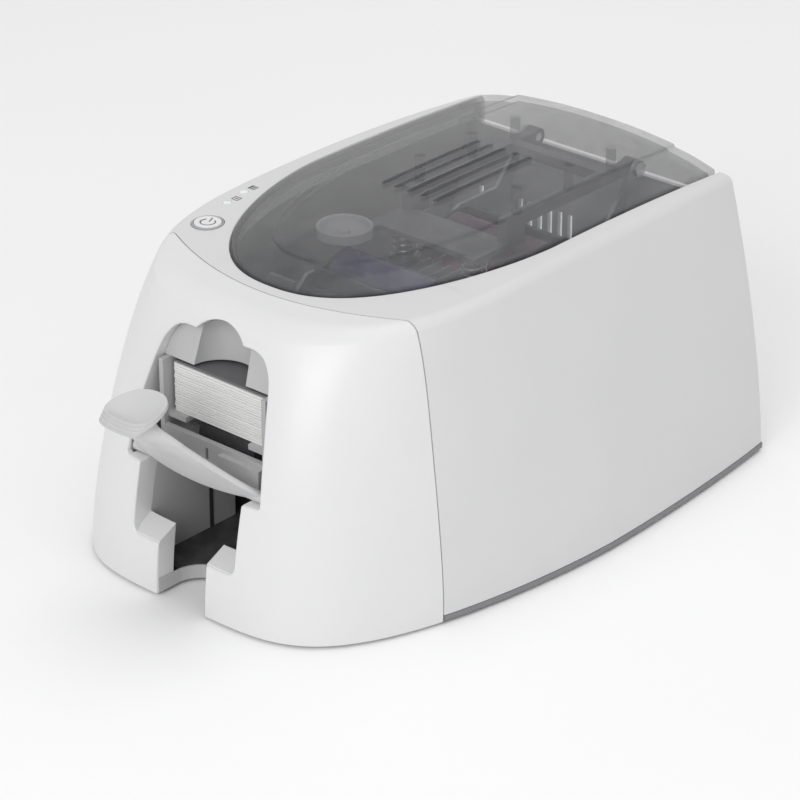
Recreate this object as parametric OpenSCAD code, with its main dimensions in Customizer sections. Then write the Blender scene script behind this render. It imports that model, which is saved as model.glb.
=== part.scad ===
/* [Casing] */
// Width of the body at the foot, across its widest part
body_w = 211; // [200:1:225]
// Reach of the front from the widest part, at the foot
front_reach = 160; // [156:1:170]
// Reach of the rear from the widest part
rear_reach = 118; // [114:1:130]
// Height of the casing at the crown of its top
body_h = 132; // [129:1:140]
// Lean of each side wall over the full height
side_lean = 25.5; // [22:0.5:28]
// Reach of the front at its top edge
top_reach = 127; // [122:1:132]
// Wall of the casing shells
wall = 2.5; // [2:0.1:3]
// Depth of the return round the front openings
bezel_depth = 10; // [8:0.5:12]
// Radius of the long top edges
edge_r = 4; // [3:0.5:5]
// Radius of the front shoulder
shoulder_r = 10; // [8:0.5:12]
// Shadow gap between neighbouring covers
seam_gap = 0.4; // [0.3:0.05:0.6]
// Height of the band of the base tray
tray_t = 2.6; // [2.2:0.1:3.2]

/* [Lid] */
// Half width of the lid
lid_half_w = 68.5; // [66:0.5:69.5]
// Reach of the lid's front from the widest part
lid_reach = 101.6; // [98:0.2:103]
// Gap round the lid
lid_gap = 0.9; // [0.7:0.1:1.2]
// Rise of the dome above the lid's rim
dome_rise = 9.5; // [7:0.5:12]
// Wall of the clear lid
lid_wall = 2; // [1.6:0.1:2.6]
// Number of vent slots in the lid
vent_count = 5; // [3:1:7]
// Spacing of the vent slots
vent_pitch = 7.4; // [6:0.2:8]
// Length of a vent slot
vent_len = 62; // [50:1:66]
// Width of a vent slot
vent_w = 2.2; // [1.8:0.1:3]

/* [Cards] */
// Length of a card
card_l = 85.6; // [84:0.1:86]
// Width of a card
card_w = 54; // [53:0.1:55]
// Thickness of a card
card_t = 0.76; // [0.5:0.01:0.8]
// Number of cards in the stack
card_count = 29; // [10:1:29]
// Height of the card path above the foot
path_z = 72.6; // [71:0.2:74]

/* [Front openings] */
// Half width of the feeder mouth at its sill
mouth_half_w = 38.3; // [37:0.1:40]
// Height of the sill of the feeder mouth
sill_z = 55; // [54:0.2:56]
// Height of the mouth's side lobes
lobe_z = 114; // [113:0.2:115]
// Radius of the mouth's middle lobe
lobe_r = 17.5; // [16:0.1:18]
// Half width of the card outlet
outlet_half_w = 29.3; // [28.5:0.1:30]
// Height of the ledges beside the finger slot
ledge_z = 23.5; // [20:0.5:27]
// Half width of the finger slot
slot_r = 14; // [12:0.5:16]
// Length of the finger slot behind the front, to its round end's centre
slot_len = 12; // [8:0.5:16]
// Thickness of the outlet's floor above the foot
floor_z = 6.5; // [5:0.1:8]

/* [Feeder flap] */
// Distance from the flap's pivots to the middle of its dish
flap_len = 55.2; // [52:0.2:56]
// Opening angle of the flap
flap_open = 57; // [50:1:60]
// Thickness of the flap
flap_t = 2.6; // [2:0.1:3.2]
// Radius of the finger dish
dish_r = 13; // [11:0.5:14]
// Radius of the flap's pivots
pivot_r = 1.6; // [1.4:0.1:2]

/* [Controls] */
// Radius of the power button
button_r = 5.2; // [4.5:0.1:6]
// Travel of the power button
button_travel = 1.2; // [0.8:0.1:1.6]
// Radius of an indicator window
led_r = 2.2; // [1.8:0.1:2.6]

/* [Drive] */
// Radius of the transport rollers
roller_r = 7; // [6.5:0.1:7.5]
// Radius of the feed roller
feed_r = 9; // [8:0.1:9.5]
// Radius of the roller shafts
shaft_r = 3; // [2.6:0.1:3.2]
// Radial clearance of a shaft in its bearing
bearing_clear = 0.06; // [0.03:0.01:0.1]
// Thickness of the side frames
frame_t = 2; // [1.6:0.1:2.4]

/* [Hidden] */
$fn = 48;
eps = 0.01;

// Form of the casing: rings of a squared oval that lean in with height
foot_h = 1.5;
lean_pow = 1.46;
round_foot = [1.55, 4.5];
round_top = [4.2, 2.15];
taper_foot = 0.0005;
taper_top = 0.0004;
crown_y = 20;
crown_k = 0.0003;
side_steps = 5;
front_steps = 12;
ring_n = side_steps + front_steps;

// Seam between the front cover and the main housing
seam_y = -lid_reach + 10.8;
seam_arc = 17.1;
seam_half_w = 66.6;
seam_lean = 6.5;

function top_z(y) = body_h - crown_k * pow(y - crown_y, 2);
function mix(a, b, k) = a + (b - a) * k;
function side_w(h) = body_w / 2 - side_lean * pow(h, lean_pow);
function reach(h) = top_reach + (front_reach - top_reach) * pow(max(1 - pow(h, 1.65), 0), 0.93);
function round_at(h) = mix(round_foot, round_top, pow(h, 4));
function taper_at(h) = mix(taper_foot, taper_top, h);
function skin_z(h, y, d) = h * (body_h - d) - crown_k * pow(y - crown_y, 2) * pow(h, 5);
function edge_at(k) = k < 0.35 ? edge_r : mix(edge_r, shoulder_r, pow((k - 0.35) / 0.65, 2));

// Half outline from the rear corner to the nose; d draws it inwards
function half_point(h, i, d) = i <= side_steps
    ? let (y = (rear_reach - d) * (1 - i / side_steps)) [side_w(h) - d - taper_at(h) * y * y, y]
    : let (t = 90 * (i - side_steps) / front_steps, n = round_at(h))
        [(side_w(h) - d) * pow(max(cos(t), 0), 2 / n[1]), -(reach(h) - d) * pow(sin(t), 2 / n[0])];
function ring_point(h, tilt, d, j) =
    let (i = j <= ring_n ? j : 2 * ring_n - j, r = edge_at(i / ring_n),
        g = h * (1 - r * (1 - sin(tilt)) / body_h), p = half_point(g, i, d + r * (1 - cos(tilt))))
    [(j <= ring_n ? 1 : -1) * p[0], p[1], skin_z(g, p[1], d)];
function ring_faces(n, k) = [for (j = [0 : n - 1])
    let (a = k * n + j, b = k * n + (j + 1) % n) each [[a, b, b + n], [a, b + n, a + n]]];
function cap_faces(n, base, up) = [for (j = [0 : (n - 1) / 2 - 1])
    let (a = base + j, b = base + j + 1, c = base + n - 2 - j, d = base + n - 1 - j)
    each up ? (j == (n - 1) / 2 - 1 ? [[a, b, d]] : [[a, b, c], [a, c, d]])
        : (j == (n - 1) / 2 - 1 ? [[a, d, b]] : [[a, c, b], [a, d, c]])];
levels = [[0, 90], [0.15, 90], [0.3, 90], [0.45, 90], [0.6, 90], [0.72, 90], [0.82, 90], [0.9, 90],
    [0.955, 90], [1, 0], [1, 30], [1, 60], [1, 90]];

// Solid of the casing form, drawn inwards by d and stretched down by drop
module casing_form(d, drop) {
    n = 2 * ring_n + 1;
    rings = [for (l = levels) [for (j = [0 : n - 1])
        let (p = ring_point(l[0], l[0] < 1 ? 0 : l[1], d, j)) [p[0], p[1], p[2] - (l[0] == 0 ? drop : 0)]]];
    polyhedron(points = [for (r = rings) each r],
        faces = concat([for (k = [0 : len(levels) - 2]) each ring_faces(n, k)],
            cap_faces(n, 0, false), cap_faces(n, n * (len(levels) - 1), true)));
}

// Everything in front of the seam; shift moves the seam forwards
module ahead_of_seam(shift) {
    far = body_w;
    translate([0, 0, body_h]) rotate([-atan(seam_lean / body_h), 0, 0]) translate([0, 0, -2 * body_h])
        linear_extrude(3 * body_h) polygon(concat([[-far, -2 * far], [-far, seam_y - shift]],
            [for (k = [-10 : 10]) let (x = seam_half_w * k / 10)
                [x, seam_y - shift - seam_arc * (1 - pow(abs(k / 10), 1.96))]],
            [[far, seam_y - shift], [far, -2 * far]]));
}

// Outline of the lid, grown by g; scale k shrinks it towards the rear middle
lid_round = [1.68, 2.37];
lid_rear_y = rear_reach - 5;
lid_steps = 14;
function lid_front(k) = lid_reach * (1 - 0.45 * (1 - k));
function lid_point(k, i, g) = i <= 4 ? [lid_half_w * k + g, lid_rear_y * (1 - i / 4)]
    : let (t = 90 * (i - 4) / lid_steps)
        [(lid_half_w * k + g) * pow(max(cos(t), 0), 2 / lid_round[1]),
            -(lid_front(k) + g) * pow(sin(t), 2 / lid_round[0])];
lid_n = 4 + lid_steps;
function lid_ring(k, g, z, d) = [for (j = [0 : 2 * lid_n])
    let (i = j <= lid_n ? j : 2 * lid_n - j, p = lid_point(k, i, g))
    [(j <= lid_n ? 1 : -1) * p[0], min(p[1], lid_rear_y - d), top_z(p[1]) + z]];
module lid_plan(g) polygon([for (p = concat(lid_ring(1, g, 0, 0), [[-lid_half_w - g, 2 * rear_reach, 0],
    [lid_half_w + g, 2 * rear_reach, 0]])) [p[0], p[1]]]);

// Gear module and teeth; the turning ratios of the joints depend on these
gear_m = 1;
platen_teeth = 36;
idler_teeth = 14;
roller_teeth = 18;
pinion_teeth = 12;

// Interior heights and places that several pieces share
half_card = card_w / 2;
stack_clear = 1.2;
guide_x = half_card + stack_clear;
guide_t = 2.4;
stack_front_y = -(reach(0.63) - 11.9);
stack_back_y = stack_front_y + card_l;
stack_top_z = path_z + card_count * (card_t + 0.02);
hood_z = path_z + 29 * 0.78 + 2;
hood_back_y = -lid_reach - 5.9;
bin_wall_x = outlet_half_w + 0.6;
frame_x = 31;
platen_y = stack_back_y + 52.9;
frame_front_y = platen_y - 65;
frame_back_y = platen_y + 87;
bin_back_y = frame_front_y - 6;
frame_top_z = 104;
shaft_z = path_z - roller_r;
roller_gap = gear_m * (platen_teeth / 2 + idler_teeth + roller_teeth / 2);
front_roller_y = platen_y - roller_gap;
rear_roller_y = platen_y + roller_gap;
idler_gap = gear_m * (platen_teeth + idler_teeth) / 2;
motor_z = shaft_z - gear_m * (platen_teeth + pinion_teeth) / 2;
feed_y = stack_front_y + 12.5;
feed_z = path_z - feed_r - 0.1;
gear_t = 5;
gear_x = -(frame_x + frame_t + 1);
rear_top_z = top_z(rear_reach) - 13;
hinge_y = lid_rear_y - 9;
hinge_z = top_z(hinge_y) - 6;
hinge_r = 2;
hinge_eye_r = 4.2;
supply_y = platen_y - 33;
supply_z = path_z + 27.4;
supply_r = 11.5;
takeup_y = platen_y + 41;
takeup_z = path_z + 23;
takeup_r = 9;
cleaning_r = 5;
cleaning_z = path_z + card_t + cleaning_r + 0.1;
film_z = path_z + card_t + 0.5;

// Pivot and dish of the feeder flap in its open pose
flap_y = -reach(0.45) + 6.1;
flap_z = sill_z + 2.7;
flap_half_w = mouth_half_w - 0.9;
flap_shut = 107.1;
flap_lean = flap_shut - flap_open;
dish_tilt = 10;
dish_y = flap_y - flap_len * cos(flap_lean);
dish_z = flap_z + flap_len * sin(flap_lean);

// Moves a piece from the casing's own frame to the middle of the outline
place_y = (dish_r * cos(dish_tilt) - dish_y - rear_reach) / 2;
module place() translate([0, place_y, foot_h]) children();

module slab(x, y, z) translate([x[0], y[0], z[0]]) cube([x[1] - x[0], y[1] - y[0], z[1] - z[0]]);
module mirrored() {
    children();
    mirror([1, 0, 0]) children();
}
module shaft(r, x0, x1, y, z) translate([x0, y, z]) rotate([0, 90, 0]) cylinder(r = r, h = x1 - x0);

// Outline of the rear opening, drawn inwards by d
function rear_w(h, d) = half_point(h, 0, d)[0];
module rear_plan(d) {
    side = [for (h = [0, 0.2, 0.4, 0.6, 0.75]) [rear_w(h, d), skin_z(h, rear_reach, 0)]];
    top = [[rear_w(rear_top_z / body_h, d), rear_top_z + wall - d]];
    polygon(concat(side, top, [for (p = top) [-p[0], p[1]]],
        [for (k = [len(side) - 1 : -1 : 0]) [-side[k][0], side[k][1]]]));
}

// Foot pan: a flat band that shows under the sides, drawn in under the front cover
boss_spots = [[66, -106], [90, -34], [94, 30], [91, 96]];
module tray_plan(d) polygon([for (j = [0 : 2 * ring_n])
    let (i = j <= ring_n ? j : 2 * ring_n - j, p = half_point(0, i, d))
    [(j <= ring_n ? 1 : -1) * p[0], p[1]]]);
tray_split_y = seam_y - seam_lean;
module slot_plan() {
    translate([0, -front_reach + slot_len]) circle(r = slot_r);
    translate([-slot_r, -front_reach - 20]) square([2 * slot_r, 20 + slot_len]);
}
module base_tray() color([0.5, 0.5, 0.52]) {
    difference() {
        union() {
            linear_extrude(tray_t) difference() {
                tray_plan(0);
                translate([-body_w, tray_split_y + seam_gap - 2 * body_w]) square(2 * body_w);
            }
            linear_extrude(tray_t) difference() {
                tray_plan(wall + 0.7);
                translate([-body_w, tray_split_y - eps]) square(2 * body_w);
            }
            linear_extrude(9) difference() {
                tray_plan(wall + 1.4);
                tray_plan(wall + 3.2);
                translate([-body_w, -2 * body_w]) square([2 * body_w, 2 * body_w + seam_y - 8]);
                mirrored() for (p = housing_bosses) translate([p[0] - 6, p[1] - 5]) square([40, 10]);
            }
            for (y = [-40, 10, 60]) slab([-70, 70], [y, y + 1.6], [tray_t, 6]);
            mirrored() slab([frame_x - 3, frame_x + frame_t + 3], [frame_front_y, frame_back_y], [tray_t, 9]);
        }
        translate([0, 0, -1]) linear_extrude(30) slot_plan();
        slab([-outlet_half_w, outlet_half_w], [-2 * front_reach, -front_reach + wall + 3], [tray_t, 30]);
        mirrored() slab([frame_x, frame_x + frame_t], [frame_front_y, frame_back_y], [frame_foot_z, 20]);
        mirrored() for (p = boss_spots) translate([p[0], p[1], -1]) cylinder(r = 1.6, h = 20);
        for (k = [0 : 11]) slab([-60 + k * 10, -56 + k * 10], [20, 48], [-1, tray_t + 0.1]);
    }
}

// Sides and top frame in one shell
module main_housing() color([0.87, 0.87, 0.88]) {
    difference() {
        casing_form(0, 0);
        casing_form(wall, 5);
        ahead_of_seam(-seam_gap / 2);
        slab([-body_w, body_w], [-2 * body_w, 2 * body_w], [-9, tray_t + 0.3]);
        translate([0, 0, body_h - 30]) linear_extrude(60) lid_plan(lid_gap);
        translate([0, rear_reach + 9, 0]) rotate([90, 0, 0]) linear_extrude(wall + 11) rear_plan(wall);
        button_hole();
    }
    // Lip round the lid opening
    difference() {
        intersection() {
            casing_form(0.2, 0);
            translate([0, 0, body_h - 12]) linear_extrude(20) lid_plan(lid_gap + 1.8);
        }
        translate([0, 0, body_h - 30]) linear_extrude(60) lid_plan(lid_gap);
        slab([-body_w, body_w], [lid_rear_y - 14, body_w], [0, 2 * body_h]);
        ahead_of_seam(-2);
        button_hole();
    }
    // Stiffening ribs and screw lugs on the inside of each wall
    intersection() {
        casing_form(wall - 0.4, 0);
        mirrored() {
            for (y = [-60, -10, 40, 84]) hull() {
                translate([side_w(0) - 14, y, 12]) cube([20, 1.6, 1]);
                translate([side_w(0.5) - 4, y, 66]) cube([20, 1.6, 1]);
            }
            for (p = housing_bosses) difference() {
                hull() {
                    translate([p[0], p[1], tray_t]) cylinder(r = 3.6, h = 9, $fn = 16);
                    translate([p[0] + 16, p[1], tray_t]) cylinder(r = 2, h = 18, $fn = 16);
                }
                translate([p[0], p[1], 0]) cylinder(r = 1.65, h = 14, $fn = 16);
            }
        }
    }
}
housing_bosses = [boss_spots[1], boss_spots[2], boss_spots[3]];
module button_hole() {
    translate([button_x, button_y, top_z(button_y) - 12]) cylinder(r = button_r + 2.2, h = 30);
    for (p = led_spots) translate([p[0], p[1], top_z(p[1]) - 12]) cylinder(r = led_r, h = 30);
}
button_x = -61.5;
button_y = -76;
led_spots = [[-69, -56.4], [-71, -43.8]];

// Outline of the feeder mouth and the card outlet, seen from the front
mouth_top_w = mouth_half_w - 8.3;
module mouth_plan(g) {
    w = mouth_top_w - g;
    z = lobe_z - g;
    side = [[mouth_half_w - g, sill_z], [w, z - 10], [w - 1.2, z - 5.6], [w - 4.2, z - 2], [w - 8.5, z]];
    polygon(concat(side, [for (k = [len(side) - 1 : -1 : 0]) [-side[k][0], side[k][1]]]));
    translate([0, lobe_z - 11]) circle(r = lobe_r - g);
}
module outlet_plan() {
    difference() {
        translate([-outlet_half_w, ledge_z]) square([2 * outlet_half_w, sill_z - ledge_z + eps]);
        for (s = [-1, 1]) difference() {
            translate([s * (outlet_half_w - 2), ledge_z + 2]) square(4.01, center = true);
            translate([s * (outlet_half_w - 4), ledge_z + 4]) circle(r = 4);
        }
    }
    translate([-slot_r, -9]) square([2 * slot_r, ledge_z + 9 + eps]);
}
module seen_from_front() translate([0, -90, 0]) rotate([90, 0, 0]) linear_extrude(2 * front_reach) children();

// Nose of the casing with the mouth, the outlet and the finger slot
module front_cover() color([0.93, 0.93, 0.94]) {
    difference() {
        union() {
            difference() {
                casing_form(0, 0);
                casing_form(wall, 5);
            }
            difference() {
                intersection() {
                    casing_form(0.1, 0);
                    slab([-46, 46], [-2 * front_reach, -90], [tray_t + 0.3, lobe_z + 12]);
                }
                casing_form(bezel_depth, 9);
            }
        }
        difference() {
            slab([-body_w, body_w], [-2 * body_w, 2 * body_w], [-99, 2 * body_h]);
            ahead_of_seam(seam_gap / 2);
        }
        seen_from_front() mouth_plan(0);
        seen_from_front() outlet_plan();
        // Ramped tops of the two ledges
        ramp_x = [slot_r - 1, outlet_half_w - 1];
        mirrored() hull() {
            slab(ramp_x, [-front_reach - 9, -front_reach - 8], [ledge_z, sill_z]);
            slab(ramp_x, [-front_reach + 16, -front_reach + 17], [ledge_z + 6, sill_z]);
        }
        // Pockets for the flap's pivots
        mirrored() slab([mouth_half_w - 1.5, pocket_x], [flap_y - 2.6, -90], [sill_z - 3, sill_z + 7.3]);
    }
    // Screw lugs on the tray and gussets behind the nose
    intersection() {
        casing_form(wall - 0.4, 0);
        union() {
            mirrored() translate([boss_spots[0][0], boss_spots[0][1], tray_t]) difference() {
                hull() {
                    cylinder(r = 3.6, h = 9, $fn = 16);
                    translate([12, -24, 0]) cylinder(r = 2, h = 18, $fn = 16);
                }
                translate([0, 0, -2]) cylinder(r = 1.65, h = 14, $fn = 16);
            }
            // Each gusset: place across, share of the front reach low down and high up
            for (g = [[50, 0.95, 0.92], [70, 0.86, 0.8]]) mirrored() hull() {
                slab([g[0] - 0.8, g[0] + 0.8], [-2 * front_reach, 6 - reach(0.3) * g[1]], [36, 37]);
                slab([g[0] - 0.8, g[0] + 0.8], [-2 * front_reach, 6 - reach(0.6) * g[2]], [78, 79]);
            }
        }
    }
}

// Closing plate of the rear, with air slots and the two sockets' windows
board_z = 12;
board_t = 1.6;
socket_z = board_z + board_t;
usb_x = body_w / 2 - 49.5;
usb_size = [12, 16, 11];
inlet_x = body_w / 2 - 29.5;
inlet_size = [9, 13, 11];
inlet_r = 3.1;
panel_y = rear_reach - wall - 0.2;
module rear_panel() color([0.84, 0.84, 0.85]) difference() {
    translate([0, rear_reach - 0.3, 0]) rotate([90, 0, 0]) linear_extrude(wall - 0.1) difference() {
        rear_plan(wall + seam_gap);
        translate([-body_w, -9]) square([2 * body_w, 9 + tray_t]);
    }
    for (k = [0 : 9]) slab([-70 + 6 * k, -67.2 + 6 * k], [panel_y - 9, panel_y + 9], [56, 84]);
    for (k = [0 : 9]) slab([13 + 6 * k, 15.8 + 6 * k], [panel_y - 9, panel_y + 9], [56, 84]);
    slab([usb_x - usb_size[0] / 2 - 0.3, usb_x + usb_size[0] / 2 + 0.3], [panel_y - 9, panel_y + 9],
        [socket_z - 0.3, socket_z + usb_size[2] + 0.3]);
    slab([inlet_x - inlet_size[0] / 2 - 0.3, inlet_x + inlet_size[0] / 2 + 0.3], [panel_y - 9, panel_y + 9],
        [socket_z - 0.3, socket_z + inlet_size[2] + 0.3]);
}

// Pale lintel behind the mouth's arch, with a round scoop for a finger
module feeder_hood() color([0.8, 0.8, 0.81]) difference() {
    intersection() {
        translate([-body_w / 2, 0, 0]) rotate([90, 0, 90]) linear_extrude(body_w)
            polygon([[stack_front_y + 0.6, hood_z], [stack_front_y + 4.4, lobe_z + 7],
                [hood_back_y, lobe_z + 7], [hood_back_y, hood_z]]);
        seen_from_front() mouth_plan(0.4);
    }
    translate([0, stack_front_y + 4, hood_z - 1]) cylinder(r = lobe_r - 2, h = 40);
}

// Side guides and ledges under the card stack, with the feed roller's bearings
ledge_in_x = 18;
bin_top_z = sill_z - 0.6;
floor_x = [-guide_x - 1, guide_x + 1];
floor_back_y = frame_front_y - 0.2;
module feeder_floor() color([0.62, 0.62, 0.63]) difference() {
    union() {
        mirrored() {
            slab([guide_x, guide_x + guide_t], [stack_front_y - 4.4, floor_back_y], [bin_top_z, hood_z]);
            slab([ledge_in_x, guide_x + 1], [stack_front_y - 2, floor_back_y], [path_z - 2.4, path_z]);
        }
        slab(floor_x, [feed_y + feed_r + 6, feed_y + feed_r + 9], [bin_top_z + 4, path_z - 0.1]);
        slab(floor_x, [stack_front_y - 5, stack_front_y - 2.4], [bin_top_z + 2, path_z - 5]);
        slab([6, floor_x[1]], [stack_front_y - 8, stack_front_y - 4.9], [bin_top_z, path_z - 7]);
    }
    slab([-4, -2.4], [stack_front_y - 9, stack_front_y], [bin_top_z + 5, path_z - 8]);
    shaft(shaft_r + bearing_clear, -guide_x - 9, guide_x + 9, feed_y, feed_z);
}

// Card outlet: floor, side walls and back wall under the feeder
bin_front_y = -front_reach + bezel_depth + 4;
bin_step_y = feed_y + 11;
module output_tray() color([0.55, 0.55, 0.56]) difference() {
    union() {
        slab([-bin_wall_x - 2.5, bin_wall_x + 2.5], [bin_front_y, bin_step_y], [tray_t, floor_z]);
        slab([-bin_wall_x - 5, bin_wall_x + 5], [bin_step_y, bin_back_y + 2], [tray_t, floor_z]);
        mirrored() translate([bin_wall_x, 0, floor_z - 1]) {
            slab([0, 2.5], [-reach(sill_z / body_h) + bezel_depth + 4, bin_step_y],
                [0, bin_top_z - floor_z + 1]);
            slab([2.5, 5], [bin_step_y - 2, bin_back_y + 2], [0, 49 - floor_z]);
            slab([-1, 3], [bin_step_y - 2, bin_step_y], [0, bin_top_z - floor_z + 1]);
        }
        slab([-bin_wall_x - 5, bin_wall_x + 5], [bin_back_y, bin_back_y + 2], [floor_z - 1, 48]);
    }
    translate([0, 0, -1]) linear_extrude(30) slot_plan();
}

// Stack of blank cards, each one a solid
module card_stack() color([0.95, 0.95, 0.95])
    for (k = [0 : card_count - 1])
        slab([-half_card, half_card], [stack_front_y, stack_back_y],
            [path_z + k * (card_t + 0.02), path_z + k * (card_t + 0.02) + card_t]);

// Side frame: profile seen from the side, with the bearing bores of every shaft
frame_foot_z = 5;
module frame_profile() polygon([[frame_front_y, frame_foot_z], [frame_back_y, frame_foot_z],
    [frame_back_y + 4, 60], [hinge_y - 11, frame_top_z], [hinge_y - 2.5, hinge_z - 3.2], [hinge_y, hinge_z],
    [hinge_y - 2.2, hinge_z + 3.4], [hinge_y - 22, frame_top_z], [platen_y + 51, frame_top_z],
    [platen_y + 29, frame_top_z - 10], [platen_y + 11, frame_top_z - 26], [platen_y - 15, frame_top_z - 26],
    [platen_y - 21, frame_top_z], [platen_y - 51, frame_top_z], [frame_front_y + 6, hood_z],
    [frame_front_y, hood_z - 6]]);
module side_frame(side) {
    x0 = side > 0 ? frame_x : -frame_x - frame_t;
    difference() {
        union() {
            translate([x0, 0, 0]) rotate([90, 0, 90]) linear_extrude(frame_t) frame_profile();
            shaft(hinge_eye_r, x0, x0 + frame_t, hinge_y, hinge_z);
        }
        for (y = [platen_y, front_roller_y, rear_roller_y])
            shaft(shaft_r + bearing_clear, x0 - 9, x0 + 9, y, shaft_z);
        shaft(2 + bearing_clear, x0 - 9, x0 + 9, front_roller_y, cleaning_z);
        shaft(2 + bearing_clear, x0 - 9, x0 + 9, supply_y, supply_z);
        shaft(2 + bearing_clear, x0 - 9, x0 + 9, takeup_y, takeup_z);
        shaft(hinge_r + 0.02, x0 - 9, x0 + 9, hinge_y, hinge_z);
        shaft(3.2, x0 - 9, x0 + 9, platen_y, motor_z);
        shaft(9, x0 - 9, x0 + 9, platen_y + 63, 40);
        shaft(9, x0 - 9, x0 + 9, platen_y - 47, 34);
    }
}
module left_frame() color([0.7, 0.7, 0.72]) {
    side_frame(-1);
    for (y = [platen_y - idler_gap, platen_y + idler_gap])
        shaft(2.4, -frame_x - frame_t - gear_t - 2, -frame_x - frame_t + 0.2, y, shaft_z);
}
module right_frame() color([0.7, 0.7, 0.72]) side_frame(1);

// Card guides and spacers that tie the two frames
module frame_bars() color([0.45, 0.45, 0.47]) {
    stops = [frame_front_y, front_roller_y, platen_y, rear_roller_y, frame_back_y];
    roller_room = roller_r - 0.4;
    for (k = [0 : 3]) slab([-frame_x, frame_x], [stops[k] + (k == 0 ? 0.2 : roller_room),
        stops[k + 1] - (k == 3 ? 4 : roller_room)], [path_z - 1.6, path_z - 0.2]);
    for (p = [[-59, 16], [79, 16], [75, 50], [-55, 50]]) shaft(3, -frame_x, frame_x, platen_y + p[0], p[1]);
}
module card_gate() color([0.3, 0.3, 0.32]) difference() {
    slab([-frame_x, frame_x], [stack_back_y + 1.2, stack_back_y + 3.2], [path_z + card_t + 0.25, hood_z + 1]);
    for (x = [-16, 0, 16]) slab([x - 4, x + 4], [stack_back_y, stack_back_y + 5], [path_z + 10, hood_z - 6]);
}

// Bearing blocks of the flap, behind the front cover's pockets
pocket_x = mouth_half_w + 4;
module flap_brackets() color([0.8, 0.8, 0.81]) mirrored() difference() {
    slab([mouth_half_w + 0.2, pocket_x], [flap_y - 2.4, flap_y + 9], [sill_z - 2, sill_z + 6.6]);
    shaft(pivot_r + bearing_clear, mouth_half_w - 9, mouth_half_w + 3.4, flap_y, flap_z);
}

// Stepping motor inside the left frame
motor_w = 28;
module drive_motor() color([0.35, 0.35, 0.37]) difference() {
    union() {
        slab([-frame_x, -frame_x + 22], [platen_y - motor_w / 2, platen_y + motor_w / 2],
            [motor_z - motor_w / 2, motor_z + motor_w / 2]);
        slab([-frame_x + 22, -frame_x + 30], [platen_y - motor_w / 2 + 2, platen_y + motor_w / 2 - 2],
            [motor_z - motor_w / 2 + 2, motor_z + motor_w / 2 - 2]);
    }
    shaft(2.5 + bearing_clear, -frame_x - 5, -frame_x + 12, platen_y, motor_z);
}

// Belt from the front transport roller to the feed roller
pulley_r = 6;
belt_x = frame_x + frame_t + 1.5;
belt_w = 4;
belt_run = sqrt(pow(front_roller_y - feed_y, 2) + pow(shaft_z - feed_z, 2));
module belt_loop(r) {
    cylinder(r = r, h = belt_w);
    translate([belt_run, 0, 0]) cylinder(r = r, h = belt_w);
    translate([0, -r, 0]) cube([belt_run, 2 * r, belt_w]);
}
module drive_belt() color([0.12, 0.12, 0.12])
    translate([belt_x, feed_y, feed_z]) rotate([atan((shaft_z - feed_z) / (front_roller_y - feed_y)), 0, 0])
        rotate([90, 0, 90]) difference() {
            belt_loop(pulley_r + 1.2);
            translate([0, 0, -belt_w]) scale([1, 1, 3]) belt_loop(pulley_r + 0.1);
        }
module pulley(y, z) {
    shaft(pulley_r, belt_x - 0.3, belt_x + belt_w + 0.3, y, z);
    shaft(pulley_r + 2, belt_x - 1.1, belt_x - 0.3, y, z);
    shaft(pulley_r + 2, belt_x + belt_w + 0.3, belt_x + belt_w + 1.1, y, z);
}

// Control board on pillars, with the two sockets at its rear edge
board_x = [body_w / 2 - 65.5, body_w / 2 - 21.5];
board_y = [34, rear_reach - 10];
module main_board() color([0.1, 0.35, 0.2]) {
    slab(board_x, board_y, [board_z, board_z + board_t]);
    for (x = [board_x[0] + 4, board_x[1] - 4]) for (y = [board_y[0] + 5, board_y[1] - 8])
        translate([x, y, tray_t]) cylinder(r = 2.5, h = board_z - tray_t);
    translate([board_x[0], 0, board_z + board_t]) {
        slab([8, 22], [50, 64], [0, 2]);
        slab([26, 34], [46, 58], [0, 1.4]);
        for (y = [74, 84]) translate([10, y, 0]) cylinder(r = 3.6, h = 9);
        slab([26, 40], [72, 78], [0, 7]);
    }
}
module usb_socket() color([0.75, 0.75, 0.77]) difference() {
    translate([usb_x - usb_size[0] / 2, rear_reach - 0.6 - usb_size[1], socket_z]) cube(usb_size);
    slab([usb_x - 4.3, usb_x + 4.3], [rear_reach - 10, rear_reach + 1], [socket_z + 1.3, socket_z + 9.2]);
    for (x = [-4.3, 4.3]) translate([usb_x + x, rear_reach - 10, socket_z + 9.2]) rotate([-90, 45, 0])
        translate([-0.8, -0.8, 0]) cube([1.6, 1.6, 12]);
}
module power_inlet() color([0.12, 0.12, 0.13]) difference() {
    translate([inlet_x - inlet_size[0] / 2, rear_reach - 0.6 - inlet_size[1], socket_z]) cube(inlet_size);
    translate([inlet_x, rear_reach - 10, socket_z + 6]) rotate([-90, 0, 0]) cylinder(r = inlet_r, h = 20);
}

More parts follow.
